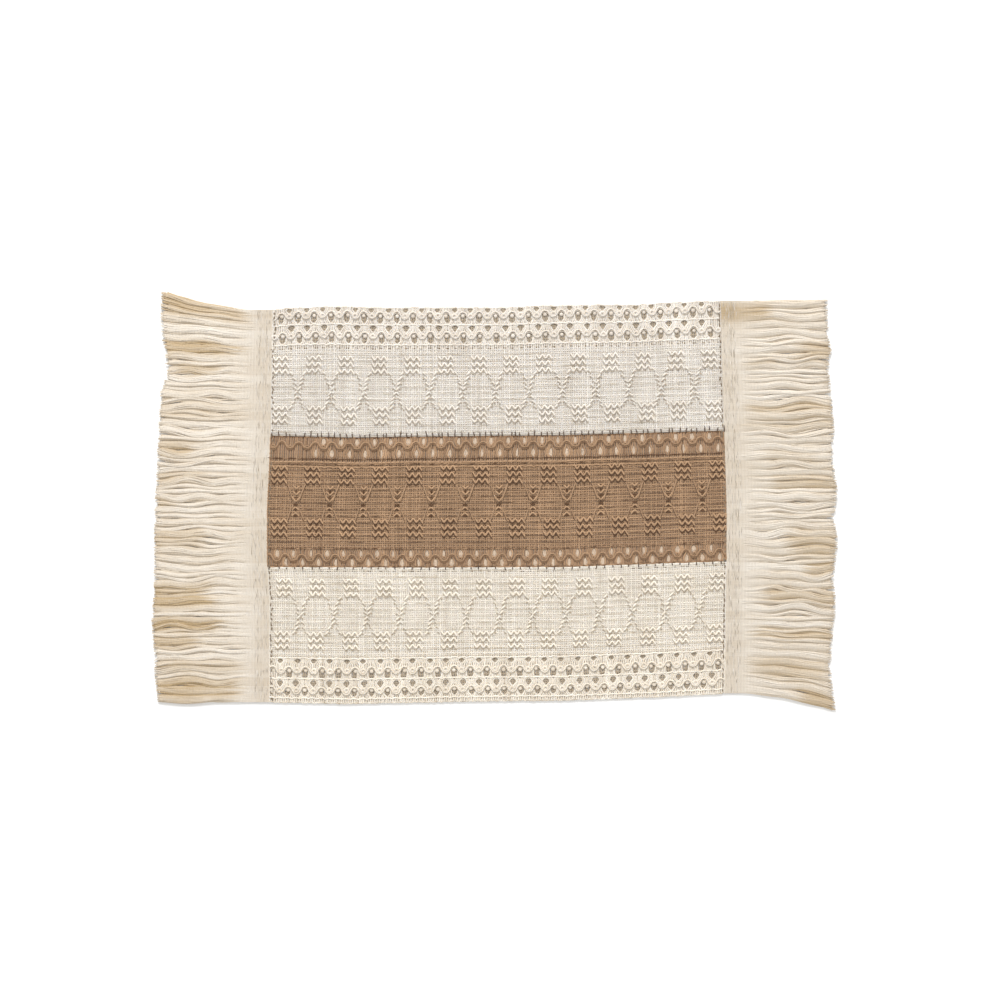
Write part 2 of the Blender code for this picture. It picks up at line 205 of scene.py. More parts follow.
studioScene()

# ---- cotton: one material recipe for all the yarns, read from each yarn's own attributes
cottons = {
    "creamYarn": {"light": (0.81, 0.755, 0.685), "dark": (0.34, 0.275, 0.205)},
    "warmCreamYarn": {"light": (0.87, 0.80, 0.70), "dark": (0.37, 0.295, 0.205)},
    "brownYarn": {"light": (0.49, 0.315, 0.185), "dark": (0.085, 0.040, 0.017), "glow": 0.25},
    # The fringe yarn's dark end is a warm tan, used for painted shade
    "fringeYarn": {"light": (0.715, 0.660, 0.585), "dark": (0.43, 0.315, 0.180), "glow": 0.3, "twistShade": 0.02},
    "brownStitch": {"light": (0.13, 0.08, 0.048), "dark": (0.07, 0.042, 0.025), "glow": 0.2},
    "tanStitch": {"light": (0.30, 0.235, 0.165), "dark": (0.17, 0.125, 0.08), "glow": 0.4},
    # Threads under the cream cloths' openings, darker than the cloth: painted shade in the holes
    "netThread": {"light": (0.47, 0.385, 0.285), "dark": (0.32, 0.255, 0.18)},
    # Pale threads under the brown cloth's spots: a painted glow of the light through them
    "glowThread": {"light": (0.70, 0.54, 0.40), "dark": (0.50, 0.37, 0.26)},
}
# The ground sheets are coloured darker than the yarns: painted shade seen in the gaps between them
grounds = {
    "creamGround": {"light": (0.76, 0.70, 0.62), "dark": (0.60, 0.53, 0.44)},
    "brownGround": {"light": (0.26, 0.158, 0.088), "dark": (0.15, 0.088, 0.048)},
}
cottonFinish = {
    "twistPitch": 2.4 * mm, "plies": 2, "twistShadeDepth": 0.08, "twistHeight": 0.5,
    "fleckScale": 1400, "fleckDepth": 0.18, "fleckHeight": 0.6, "toneScale": 40, "toneDepth": 0.36,
    "paintedGapShade": 0.35, "bumpDistance": 0.14 * mm, "bumpStrength": 0.6, "roughness": 0.92, "sheen": 0.2,
    "sheenRoughness": 0.5, "specular": 0.2, "glow": 0.35, "glowReach": 1.6 * mm,
    "glowTint": (1.0, 0.85, 0.65),
}


def cottonMaterial(name, colours, onYarn=True):
    finish = cottonFinish
    material, tree, shader = newMaterial(name, {
        "Roughness": finish["roughness"], "Sheen Weight": finish["sheen"],
        "Sheen Roughness": finish["sheenRoughness"], "Specular IOR Level": finish["specular"],
        "Subsurface Weight": finish["glow"] * colours.get("glow", 1),
        "Subsurface Radius": finish["glowTint"], "Subsurface Scale": finish["glowReach"]})
    broad = objectNoise(tree, finish["toneScale"], 3)
    fleck = objectNoise(tree, finish["fleckScale"], 2)
    tone = mathNode(tree, "MULTIPLY_ADD", broad, finish["toneDepth"], -finish["toneDepth"] / 2)
    speck = mathNode(tree, "MULTIPLY_ADD", fleck, finish["fleckDepth"], -finish["fleckDepth"] / 2)
    amount = mathNode(tree, "ADD", tone, speck)
    height = mathNode(tree, "MULTIPLY", fleck, finish["fleckHeight"])
    if onYarn:
        shade = addNode(tree, "ShaderNodeAttribute", attribute_name="shade").outputs["Fac"]
        amount = mathNode(tree, "ADD", amount, shade)
        uv = addNode(tree, "ShaderNodeUVMap", uv_map="yarnUv").outputs["UV"]
        split = addNode(tree, "ShaderNodeSeparateXYZ", {0: uv}).outputs
        turns = mathNode(tree, "DIVIDE", split["X"], finish["twistPitch"])
        lane = mathNode(tree, "MULTIPLY_ADD", split["Y"], finish["plies"], turns)
        wave = mathNode(tree, "SINE", mathNode(tree, "MULTIPLY", lane, fullTurn))
        # The colour follows the twist: painted shade in the grooves between the plies, lighter on their
        # crests
        amount = mathNode(tree, "MULTIPLY_ADD", wave, colours.get("twistShade", finish["twistShadeDepth"]), amount)
        height = mathNode(tree, "MULTIPLY_ADD", wave, finish["twistHeight"], height)
    else:
        # The ground leans to its dark colour: painted shade in the gaps between the yarns
        amount = mathNode(tree, "ADD", amount, finish["paintedGapShade"])
    bump = addNode(tree, "ShaderNodeBump", {"Strength": finish["bumpStrength"],
                                            "Distance": finish["bumpDistance"], "Height": height})
    fillInputs(tree, shader, {"Base Color": mixedColour(tree, amount, colours["dark"], colours["light"]),
                              "Normal": bump.outputs["Normal"]})
    return material


materials = {name: cottonMaterial(name, colours) for name, colours in cottons.items()}
materials.update({name: cottonMaterial(name, colours, False) for name, colours in grounds.items()})
print("materials made")


# ---- node trees: a yarn along each chain of edges, and small shapes on points
def newTree(name, **sizes):
    tree = bpy.data.node_groups.new(name, "GeometryNodeTree")
    for label, kind in [("Geometry", "Geometry"), *sizes.items(), ("Material", "Material")]:
        tree.interface.new_socket(label, in_out="INPUT", socket_type="NodeSocket" + kind)
    tree.interface.new_socket("Geometry", in_out="OUTPUT", socket_type="NodeSocketGeometry")
    return tree, tree.nodes.new("NodeGroupInput").outputs, tree.nodes.new("NodeGroupOutput").inputs


def namedNumber(tree, name):
    inputs = {"Name": name}
    return addNode(tree, "GeometryNodeInputNamedAttribute", inputs, data_type="FLOAT").outputs["Attribute"]


def joinedVector(tree, **parts):
    return addNode(tree, "ShaderNodeCombineXYZ", parts).outputs[0]


def onSpline(tree, label):
    return tree.nodes.new("GeometryNodeSplineParameter").outputs[label]


def captured(tree, geometry, value, label):
    node = tree.nodes.new("GeometryNodeCaptureAttribute")
    node.capture_items.new("FLOAT", label)
    fillInputs(tree, node, {"Geometry": geometry, label: value})
    return node.outputs["Geometry"], node.outputs[label]


def finishTree(tree, geometry, given, result):
    smooth = addNode(tree, "GeometryNodeSetShadeSmooth", {"Geometry": geometry})
    real = addNode(tree, "GeometryNodeRealizeInstances", {"Geometry": smooth.outputs[0]})
    inputs = {"Geometry": real.outputs[0], "Material": given["Material"]}
    painted = addNode(tree, "GeometryNodeSetMaterial", inputs)
    tree.links.new(painted.outputs[0], result["Geometry"])
    return tree


def onPoints(tree, given, shape, **inputs):
    inputs = {"Points": given["Geometry"], "Instance": shape, **inputs}
    return addNode(tree, "GeometryNodeInstanceOnPoints", inputs).outputs[0]


def yarnTube(tree, curve, sides, girth, reach):
    # A round tube whose uv is metres along it, and turns around it from underneath
    ring = addNode(tree, "GeometryNodeCurvePrimitiveCircle", {"Resolution": sides, "Radius": 1.0})
    profile, around = captured(tree, ring.outputs["Curve"], onSpline(tree, "Factor"), "around")
    line, metres = captured(tree, curve, reach, "metres")
    inputs = {"Curve": line, "Profile Curve": profile, "Scale": girth, "Fill Caps": True}
    tube = addNode(tree, "GeometryNodeCurveToMesh", inputs)
    inputs = {"Geometry": tube.outputs[0], "Name": "yarnUv", "Value": joinedVector(tree, X=metres, Y=around)}
    stored = addNode(tree, "GeometryNodeStoreNamedAttribute", inputs, data_type="FLOAT2", domain="CORNER")
    return stored.outputs[0]


def makeYarnTree():
    tree, given, result = newTree("yarn", Sides="Int")
    curve = addNode(tree, "GeometryNodeMeshToCurve", {"Mesh": given["Geometry"]}).outputs[0]
    tube = yarnTube(tree, curve, given["Sides"], namedNumber(tree, "girth"), namedNumber(tree, "reach"))
    return finishTree(tree, tube, given, result)


def makeLoopTree():
    # A small ring of yarn on each point, lying in the cloth
    tree, given, result = newTree("loops", Radius="Float", Girth="Float", Steps="Int", Sides="Int")
    inputs = {"Resolution": given["Steps"], "Radius": given["Radius"]}
    circle = addNode(tree, "GeometryNodeCurvePrimitiveCircle", inputs).outputs["Curve"]
    tube = yarnTube(tree, circle, given["Sides"], given["Girth"], onSpline(tree, "Length"))
    size = namedNumber(tree, "size")
    loops = onPoints(tree, given, tube, Scale=joinedVector(tree, X=size, Y=size, Z=1.0))
    return finishTree(tree, loops, given, result)


def makeKnotTree():
    # A flattened knot on each point
    tree, given, result = newTree("knots", Radius="Float", Flatness="Float")
    inputs = {"Segments": 8, "Rings": 5, "Radius": given["Radius"]}
    ball = addNode(tree, "GeometryNodeMeshUVSphere", inputs).outputs["Mesh"]
    size = namedNumber(tree, "size")
    knots = onPoints(tree, given, ball, Scale=joinedVector(tree, X=size, Y=size, Z=given["Flatness"]))
    return finishTree(tree, knots, given, result)


def makeStitchTree():
    # A small arched stitch on each point, along y, or turned by the point's own angle
    tree, given, result = newTree("stitches", Reach="Float", Rise="Float", Girth="Float")
    half = mathNode(tree, "MULTIPLY", given["Reach"], 0.5)
    back = mathNode(tree, "MULTIPLY", half, -1.0)
    peak = mathNode(tree, "MULTIPLY", given["Rise"], 2.0)
    inputs = {"Resolution": 4, "Start": joinedVector(tree, Y=back), "Middle": joinedVector(tree, Z=peak),
              "End": joinedVector(tree, Y=half)}
    arch = addNode(tree, "GeometryNodeCurveQuadraticBezier", inputs).outputs[0]
    tube = yarnTube(tree, arch, 4, given["Girth"], onSpline(tree, "Length"))
    turn = joinedVector(tree, Z=namedNumber(tree, "turn"))
    facing = addNode(tree, "FunctionNodeEulerToRotation", {"Euler": turn}).outputs[0]
    size = joinedVector(tree, X=1.0, Y=namedNumber(tree, "size"), Z=1.0)
    return finishTree(tree, onPoints(tree, given, tube, Rotation=facing, Scale=size), given, result)


trees = {"yarn": makeYarnTree(), "loops": makeLoopTree(), "knots": makeKnotTree(),
         "stitches": makeStitchTree()}


def baked(name, mesh, treeName, sizes, material):
    # Runs a tree on a mesh of points or edges, and keeps the result as a plain mesh
    source = placed(name + "Source", mesh)
    modifier = source.modifiers.new(treeName, "NODES")
    modifier.node_group = trees[treeName]
    values = dict(sizes, Material=materials[material])
    for item in trees[treeName].interface.items_tree:
        if item.in_out == "INPUT" and item.name in values:
            modifier[item.identifier] = values[item.name]
    evaluated = source.evaluated_get(bpy.context.evaluated_depsgraph_get())
    made = bpy.data.meshes.new_from_object(evaluated)
    made.name = name
    source.modifiers.clear()
    bpy.data.objects.remove(source, do_unlink=True)
    made.calc_loop_triangles()
    print(name, len(made.loop_triangles), "triangles")
    return placed(name, made)


def addColumn(mesh, label, values):
    mesh.attributes.new(label, "FLOAT", "POINT").data.foreach_set("value", values)


class Yarns:
    # Chains of points, each with its girth and shade, that become one piece
    def __init__(self):
        self.points, self.girths, self.shades, self.reaches, self.edges = [], [], [], [], []
        self.count = 0

    def add(self, x, y, z, girth, shade):
        columns = np.broadcast_arrays(*[np.asarray(a, float) for a in (x, y, z, girth, shade)])
        places = np.stack(columns[:3], axis=1)
        steps = np.linalg.norm(np.diff(places, axis=0), axis=1)
        self.points.append(places)
        self.girths.append(columns[3])
        self.shades.append(columns[4])
        self.reaches.append(np.concatenate([[0], np.cumsum(steps)]))
        first = np.arange(self.count, self.count + len(places) - 1)
        self.edges.append(np.stack([first, first + 1], axis=1))
        self.count += len(places)

    def make(self, name, sides, material):
        mesh = bpy.data.meshes.new(name + "Chains")
        mesh.from_pydata(np.concatenate(self.points).tolist(), np.concatenate(self.edges).tolist(), [])
        for label, values in (("girth", self.girths), ("shade", self.shades), ("reach", self.reaches)):
            addColumn(mesh, label, np.concatenate(values))
        return baked(name, mesh, "yarn", {"Sides": sides}, material)


def pointMesh(name, places, **columns):
    mesh = bpy.data.meshes.new(name)
    mesh.from_pydata([tuple(place) for place in places], [], [])
    for label, values in columns.items():
        addColumn(mesh, label, np.broadcast_to(np.asarray(values, float), (len(places),)).copy())
    return mesh


def slab(name, x, y, faces, edges, heights, ground):
    # A thin closed sheet: the faces above and below, and a wall along each border edge
    high, low = heights
    count = len(x)
    verts = [(*p, high) for p in zip(x, y)] + [(*p, low) for p in zip(x, y)]
    shell = [tuple(f) for f in faces] + [tuple(i + count for i in reversed(f)) for f in faces]
    shell += [(b, a, a + count, b + count) for a, b in edges]
    mesh = bpy.data.meshes.new(name)
    mesh.from_pydata(verts, [], shell)
    mesh.materials.append(materials[ground])
    return placed(name, mesh)


# ---- the cloths: a drop is mm below the cloth's upper edge, a rise is mm above a wave's middle line
def wave(drop, swing, crest, pitch, above, below, bulb, bead=None, bulbSize=1.0, openFrom=6):
    return {"drop": drop * mm, "swing": swing * mm, "crest": crest * mm, "pitch": pitch * mm, "above": above,
            "below": below, "bulb": bulb * mm, "bead": bead, "bulbSize": bulbSize, "openFrom": openFrom * mm}


creamCloth = {
    "slot": "cream_cotton", "ground": "creamGround", "net": "netThread", "netUprights": (-0.55, 0.0, 0.55),
    "netGirth": 0.52 * mm, "grooves": [], "dashPitch": 6.3 * mm, "dashThread": "tanStitch",
    # Girth and shade of the dark threads painted as the figures' shadows
    "hourglass": "bars", "groove": (0.42 * mm, 0.18), "underGirth": 0.34 * mm, "figureShade": 0.79,
    "weaveDepth": 0.115 * mm, "rowGirth": 0.68 * mm, "uprightLift": 0.16 * mm, "shade": 0.75,
    "laceShade": 0.66, "lineShade": 0.45, "pale": 0,
}
clothUpper = {
    **creamCloth, "name": "Upper", "node": "panel_upper", "width": 98.6 * mm, "seed": 3,
    "top": topEdge, "bottom": upperSeam, "yarn": "creamYarn",
    "waves": [wave(5.8, 2.7, 7.5, 12.63, ("slit", 4.0), ("keyhole", 0.0), -0.7, bead=-0.5),
              wave(21.1, 2.6, 8.6, 12.58, ("funnel", 0.0), ("keyhole", -0.2), -0.8, bead=-0.6)],
    "hems": [(0.2, 0.55)], "cords": [13.2, 28.4], "dashDrop": 31.0, "patches": [(43.5, 7.4), (81.8, 8.7)],
    "columnPitch": 25.17 * mm, "waist": 63.4, "crossBack": 0.78, "rowGap": 31.0, "weave": (31.0, 98.4),
    "lace": [(0, 30.4)],
}
clothCentre = {
    "name": "Centre", "node": "panel_centre", "slot": "brown_cotton", "width": 98.8 * mm, "seed": 4,
    "top": upperSeam, "bottom": lowerSeam, "yarn": "brownYarn", "ground": "brownGround",
    "waves": [wave(6.1, 2.4, 9.4, 12.68, ("spot", 2.8), ("spot", -6.2), -1.1, bulbSize=0.6, openFrom=30),
              wave(91.6, 2.5, 1.6, 12.50, ("spot", 3.1), ("spot", -3.9), -0.5, bulbSize=0.6)],
    # The dark hem along the top seam and the dark cords in the grooves are painted shade
    "hems": [(0.2, 0.15), (98.5, 0.45)], "grooves": [(16.4, 0.05), (20.5, 0.35), (84.8, 0.3)],
    "cords": [22.6], "dashDrop": 16.4, "dashPitch": 4.4 * mm, "dashThread": "brownStitch",
    "patches": [(28.6, 7.9), (68.6, 10.0)], "columnPitch": 25.4 * mm, "waist": 51.3, "rowGap": 20.5,
    "weave": (17.1, 83.9), "lace": [(0, 16.4), (84.8, 98.8)],
    # The brown cloth's spots are filled with pale threads: painted glow
    "net": "glowThread", "netUprights": (-0.8, -0.4, 0.0, 0.4, 0.8), "netGirth": 0.48 * mm,
    # Girth and shade of the dark threads painted as the figures' shadows
    "hourglass": "chevrons", "groove": (0.50 * mm, 0.0), "underGirth": 0.52 * mm, "figureShade": 0.76,
    "weaveDepth": 0.17 * mm, "rowGirth": 0.76 * mm, "uprightLift": 0.06 * mm, "shade": 0.62,
    "laceShade": 0.54, "lineShade": 0.26, "pale": 0.30,
}
clothLower = {
    **creamCloth, "name": "Lower", "node": "panel_lower", "width": 102.3 * mm, "seed": 5,
    "top": lowerSeam, "bottom": bottomEdge, "yarn": "warmCreamYarn",
    "waves": [wave(77.6, 2.6, 2.8, 12.46, ("slit", 6.9), ("keyhole", -0.5), -0.3, bead=-0.5),
              wave(92.7, 2.6, 2.0, 12.57, ("funnel", -0.4), ("shortKeyhole", 0.0), -0.2, bead=0.3)],
    "hems": [(0.4, 0.75), (102.1, 0.55)], "cords": [68.6, 84.1, 98.8], "dashDrop": 2.6,
    "patches": [(15.0, 12.4), (54.9, 10.8)], "columnPitch": 24.98 * mm, "waist": 36.3, "crossBack": 0.60,
    "rowGap": 2.4, "weave": (0.3, 67.6), "lace": [(68.2, 102.3)],
}

# The openings beside a wave: (rise, half width there) in mm, from the top down
openings = {
    "keyhole": [(1.7, 0.9), (1.0, 2.0), (-0.2, 2.5), (-1.4, 2.4), (-2.6, 2.3), (-4.4, 2.3), (-5.4, 1.6),
                (-5.9, 0.6)],
    "shortKeyhole": [(1.9, 0.9), (1.2, 2.0), (0.2, 2.4), (-1.0, 2.3), (-2.8, 2.2), (-3.8, 1.5), (-4.3, 0.5)],
    "funnel": [(7.2, 1.6), (6.7, 2.5), (6.0, 2.7), (4.8, 2.1), (3.7, 1.3), (3.0, 0.5)],
    "slit": [(1.3, 1.0), (0.8, 2.2), (-0.5, 2.3), (-1.6, 1.0)],
    "spot": [(2.6, 0.6), (1.6, 1.4), (0.0, 1.8), (-1.6, 1.5), (-2.5, 0.6)],
}
openingFit = {"margin": 0.15 * mm, "stray": 0.2 * mm, "widths": (0.88, 1.08), "spotSizes": (0.6, 1.0),
              "firstTurn": 1.5 * mm, "lastTurn": 3.0 * mm, "lastOpening": 4.5 * mm}


def waveTurns(wave, side):
    # u of every crest or trough that a wave has room for
    first = wave["crest"] + (0 if side == "crest" else wave["pitch"] / 2)
    first -= wave["pitch"] * math.floor((first - openingFit["firstTurn"]) / wave["pitch"])
    return np.arange(first, mat["length"] - openingFit["lastTurn"], wave["pitch"])


def clothHoles(cloth):
    # Every opening: its u, v and half width down its own profile, and how far from it threads are moved
    chance = np.random.default_rng(cloth["seed"] + 70)
    holes = []
    for wave in cloth["waves"]:
        for side, turn in (("above", "trough"), ("below", "crest")):
            kind, shift = wave[side]
            profile = np.array(openings[kind]) * mm
            v = cloth["width"] - wave["drop"] + shift * mm + profile[:, 0]
            for u in waveTurns(wave, turn):
                if wave["openFrom"] < u < mat["length"] - openingFit["lastOpening"]:
                    size = chance.uniform(*openingFit["spotSizes"]) if kind == "spot" else 1
                    halves = size * profile[:, 1] * chance.uniform(*openingFit["widths"], len(v))
                    holes.append((u + chance.normal(0, openingFit["stray"]), v, halves, wave["pitch"] / 2))
    return holes


# ---- the thin ground cloth that carries the yarns; its darker colour is painted shade in the gaps between them
sheetCloth = {"heights": (0.98 * mm, 0.62 * mm), "edgeSteps": 70, "sideSteps": 20, "inset": 0.4 * mm}


def makeSheet(cloth):
    inset, length, width = sheetCloth["inset"], mat["length"], cloth["width"]
    us = np.linspace(inset, length - inset, sheetCloth["edgeSteps"] + 1)
    vs = np.linspace(inset, width - inset, sheetCloth["sideSteps"] + 1)
    loops = [[(u, width - inset) for u in us[:-1]] + [(length - inset, v) for v in vs[:0:-1]]
             + [(u, inset) for u in us[:0:-1]] + [(inset, v) for v in vs[:-1]]]
    holes = clothHoles(cloth)
    for u, vs, halves, _ in holes:
        right = [(u + half, v) for v, half in zip(vs, halves)]
        loops.append(right + [(2 * u - x, v) for x, v in right[::-1]])
    flat, edges, loopOf = [], [], []
    for number, loop in enumerate(loops):
        first = len(flat)
        flat += loop
        edges += [(first + i, first + (i + 1) % len(loop)) for i in range(len(loop))]
        loopOf += [number] * len(loop)
    joined, _, faces, *_ = delaunay_2d_cdt([Vector(p) for p in flat], edges, [], 1, 1e-8)
    assert len(joined) == len(flat)

    def isOpen(face):
        # Whether a face lies inside the opening that all its corners belong to
        number = loopOf[face[0]]
        if number == 0 or len({loopOf[i] for i in face}) > 1:
            return False
        u, vs, halves, _ = holes[number - 1]
        middleU, middleV = np.mean([flat[i] for i in face], axis=0)
        return abs(middleU - u) < np.interp(middleV, vs[::-1], halves[::-1])

    kept = [face for face in faces if not isOpen(face)]
    x, y = laid(cloth, [p[0] for p in flat], [p[1] for p in flat])
    return slab("cloth" + cloth["name"], x, y, kept, edges, sheetCloth["heights"], cloth["ground"])


# ---- the weave: upright threads through pairs of level rows, parted round the openings
weaveYarn = {
    "uprightPitch": 1.69 * mm, "uprightGirth": 0.66 * mm, "laceGirth": 0.83 * mm, "pairPitch": 4.95 * mm,
    "pair": (1.45 * mm, 3.60 * mm), "laceStep": 1.6 * mm, "laceDepth": 0.4, "jitter": 0.16 * mm, "sides": 4,
    "uprightEnd": 0.6 * mm, "uprightGirths": (0.88, 1.08), "rowEnd": 0.5 * mm, "rowGirths": (0.9, 1.1),
    "rowSwing": 0.22 * mm, "rowSwingLength": 0.07,
    "uprightTones": 0.09, "rowTones": 0.06, "pointTones": 0.03,
    "openingReach": 0.5 * mm, "paintedGlowReach": (2.3 * mm, 3.4 * mm),
    # The dark thread painted as shade between pairs of rows
    "lineGirth": 0.25 * mm, "lineLift": 0.78 * mm, "linePoints": 56, "lineFade": (-0.3, 0.6),
}


def partedRound(u, v, holes):
    # Moves an upright thread's points sideways, clear of the openings
    moved = u.copy()
    reach = weaveYarn["openingReach"]
    for holeU, holeV, halves, spread in holes:
        du = u - holeU
        near = (v < holeV[0] + reach) & (v > holeV[-1] - reach) & (np.abs(du) < spread)
        clear = np.interp(v, holeV[::-1], halves[::-1]) + openingFit["margin"]
        lean = 1 if u.mean() >= holeU else -1
        pushed = holeU + lean * (clear + np.abs(du) * (spread - clear) / spread)
        moved = np.where(near, pushed, moved)
    return moved


def paintedGlowBeside(u, v, holes):
    # How much paler the yarn is painted beside the brown cloth's spots: a painted glow around the light
    # through them
    pale = np.zeros(len(v))
    across, up = weaveYarn["paintedGlowReach"]
    for holeU, holeV, *_ in holes:
        away = ((u - holeU) / across) ** 2 + ((v - holeV.mean()) / up) ** 2
        pale = np.maximum(pale, np.exp(-away))
    return pale


def addUprights(yarns, cloth, uprights, rowDrops, chance):
    laceDrops = [np.arange(a * mm + 0.2 * mm, b * mm, weaveYarn["laceStep"]) for a, b in cloth["lace"]]
    drops = np.concatenate([rowDrops] + laceDrops)
    isRow = np.concatenate([np.ones(len(rowDrops))] + [np.zeros(len(part)) for part in laceDrops])
    parity = np.concatenate([np.arange(len(part)) % 2 for part in [rowDrops] + laceDrops])
    order = np.argsort(drops)
    drops, isRow, parity = drops[order], isRow[order] > 0, parity[order]
    holes = clothHoles(cloth)
    v = cloth["width"] - drops
    for number, u in enumerate(uprights):
        us = partedRound(np.full(len(v), u) + noise(chance, 0.12 * mm, v), v, holes)
        over = np.where((parity + number) % 2 == 0, 1, -1)
        lift = over * cloth["weaveDepth"] * np.where(isRow, 1, weaveYarn["laceDepth"])
        x, y = laid(cloth, us, v)
        shade = np.where(isRow, cloth["shade"], cloth["laceShade"])
        shade = shade + chance.normal(0, weaveYarn["uprightTones"])
        shade = shade + noise(chance, weaveYarn["pointTones"], v)
        # Painted glow: the brown yarn is paler round its spots
        if cloth["pale"]:
            shade = shade + cloth["pale"] * paintedGlowBeside(us, v, holes)
        girth = np.where(isRow, weaveYarn["uprightGirth"], weaveYarn["laceGirth"])
        girth = girth * chance.uniform(*weaveYarn["uprightGirths"])
        yarns.add(x, y, mat["middleHeight"] + lift + cloth["uprightLift"], girth, shade)


def addRows(yarns, cloth, uprights, rowDrops, chance):
    count, end = len(uprights), weaveYarn["rowEnd"]
    ends = np.concatenate([[end], uprights, [mat["length"] - end]])
    for number, drop in enumerate(rowDrops):
        wobble = weaveYarn["rowSwing"] * ripple(uprights / weaveYarn["rowSwingLength"], chance.uniform())
        wobble += noise(chance, 0.10 * mm, uprights)
        lift = np.where((number + np.arange(count)) % 2 == 0, -1, 1) * cloth["weaveDepth"]
        x, y = laid(cloth, ends, cloth["width"] - drop + np.concatenate([[0], wobble, [0]]))
        shade = cloth["shade"] + chance.normal(0, weaveYarn["rowTones"])
        shade = shade + noise(chance, weaveYarn["pointTones"], ends)
        girth = cloth["rowGirth"] * chance.uniform(*weaveYarn["rowGirths"])
        yarns.add(x, y, mat["middleHeight"] + np.concatenate([[0], lift, [0]]), girth, shade)


def makeWeave(cloth):
    chance = np.random.default_rng(cloth["seed"])
    yarns = Yarns()
    length, end = mat["length"], weaveYarn["uprightEnd"]
    low, high = [drop * mm for drop in cloth["weave"]]
    pairs = np.arange(cloth["rowGap"] * mm - 2 * weaveYarn["pairPitch"], high, weaveYarn["pairPitch"])
    rowDrops = np.sort(np.concatenate([pairs + part for part in weaveYarn["pair"]]))
    rowDrops = rowDrops[(rowDrops > low) & (rowDrops < high)]
    count = int(length / weaveYarn["uprightPitch"])
    uprights = length * (np.arange(count) + 0.5) / count + chance.normal(0, weaveYarn["jitter"], count)
    uprights = np.clip(uprights, end, length - end)
    addUprights(yarns, cloth, uprights, rowDrops, chance)
    addRows(yarns, cloth, uprights, rowDrops, chance)
    # A thin dark thread in the gap between each pair of rows: painted shade
    us = np.linspace(1 * mm, length - 1 * mm, weaveYarn["linePoints"])
    for drop in pairs[(pairs > low) & (pairs < high)]:
        fade = chance.uniform(*weaveYarn["lineFade"], len(us))
        x, y = laid(cloth, us, cloth["width"] - drop + noise(chance, 0.12 * mm, us))
        height = mat["middleHeight"] + weaveYarn["lineLift"]
        yarns.add(x, y, height, weaveYarn["lineGirth"], cloth["lineShade"] + fade)
    return yarns.make("weave" + cloth["name"], weaveYarn["sides"], cloth["yarn"])


# ---- raised cords: waves, straight cords, hems, and the bulbs and beads beside the waves
laceYarn = {
    "cordGirth": 0.70 * mm, "smallCord": 0.85, "cordHeight": 1.74 * mm, "cordShade": 0.60,
    "bulge": 0.40 * mm, "cordStep": 0.30, "cordEnd": 0.8 * mm, "swingChange": 0.12, "sides": 6,
    # A thin dark cord under each wave: painted shadow
    "shadowCordOffset": 1.45 * mm, "underHeight": 1.66 * mm, "underPaintedShade": 0.28,
    "straightGirth": 0.62 * mm, "straightHeight": 1.48 * mm, "straightStep": 2.1 * mm, "scallop": 0.35 * mm,
    "scallopPitch": 6.3 * mm, "hem": (0.98 * mm, 0.66 * mm), "groove": (1.62 * mm, 0.48 * mm),
    "bulbRadius": 1.56 * mm, "bulbGirth": 0.94 * mm, "bulbHeight": 1.48 * mm, "bulbSizes": (0.92, 1.06),
    "bulbSteps": 12, "bulbSides": 6, "bulbShade": 0.60,
    "beadRadius": 1.72 * mm, "beadHeight": 1.22 * mm, "beadSizes": (0.85, 1.1), "beadShade": 0.55,
    "beadFlatness": 0.45, "netHeight": 0.64 * mm, "netDrop": 0.1 * mm, "netInset": 0.6 * mm,
    "netOverlap": 0.4 * mm, "netRows": (0.33, 0.68), "netShade": 0.6, "netTones": 0.15, "netSides": 4,
}


def addWave(yarns, cloth, wave, chance):
    # The wave's cord, and the thin dark cord under its lower side, painted as its shadow
    middle, length = cloth["width"] - wave["drop"], mat["length"]
    girth = laceYarn["cordGirth"] * (1 if wave["bulbSize"] == 1 else laceYarn["smallCord"])
    phase = np.arange(-3 * np.pi, fullTurn * length / wave["pitch"], laceYarn["cordStep"])
    u = wave["crest"] + wave["pitch"] * phase / fullTurn + laceYarn["bulge"] * np.sin(2 * phase)
    keep = (u > laceYarn["cordEnd"]) & (u < length - laceYarn["cordEnd"])
    swing = wave["swing"] * (1 + laceYarn["swingChange"] * np.sin(0.37 * phase + chance.uniform(0, 6)))
    u, v = u[keep], (middle + swing * np.cos(phase))[keep]
    x, y = laid(cloth, u, v + noise(chance, 0.10 * mm, u))
    z = laceYarn["cordHeight"] + noise(chance, 0.06 * mm, u)
    yarns.add(x, y, z, girth, laceYarn["cordShade"] + noise(chance, 0.06, u))
    x, y = laid(cloth, u, v - laceYarn["shadowCordOffset"])
    yarns.add(x, y, laceYarn["underHeight"], cloth["underGirth"], laceYarn["underPaintedShade"])


def addStraightCords(yarns, cloth, chance):
    us = np.arange(0.6 * mm, mat["length"] - 0.5 * mm, laceYarn["straightStep"])
    for drop in cloth["cords"]:
        scallop = laceYarn["scallop"] * np.sin(fullTurn * us / laceYarn["scallopPitch"])
        x, y = laid(cloth, us, cloth["width"] - drop * mm + scallop + noise(chance, 0.12 * mm, us))
        shade = cloth["shade"] + noise(chance, 0.08, us)
        yarns.add(x, y, laceYarn["straightHeight"], laceYarn["straightGirth"], shade)
    # Hems, and dark cords painted as shade along the grooves
    rows = [(*row, *laceYarn[kind]) for kind in ("hem", "groove") for row in cloth[kind + "s"]]
    for drop, shade, height, girth in rows:
        x, y = laid(cloth, us, cloth["width"] - drop * mm + noise(chance, 0.14 * mm, us))
        girths = girth * chance.uniform(0.7, 1.1, len(us))
        yarns.add(x, y, height, girths, shade + noise(chance, 0.2, us))


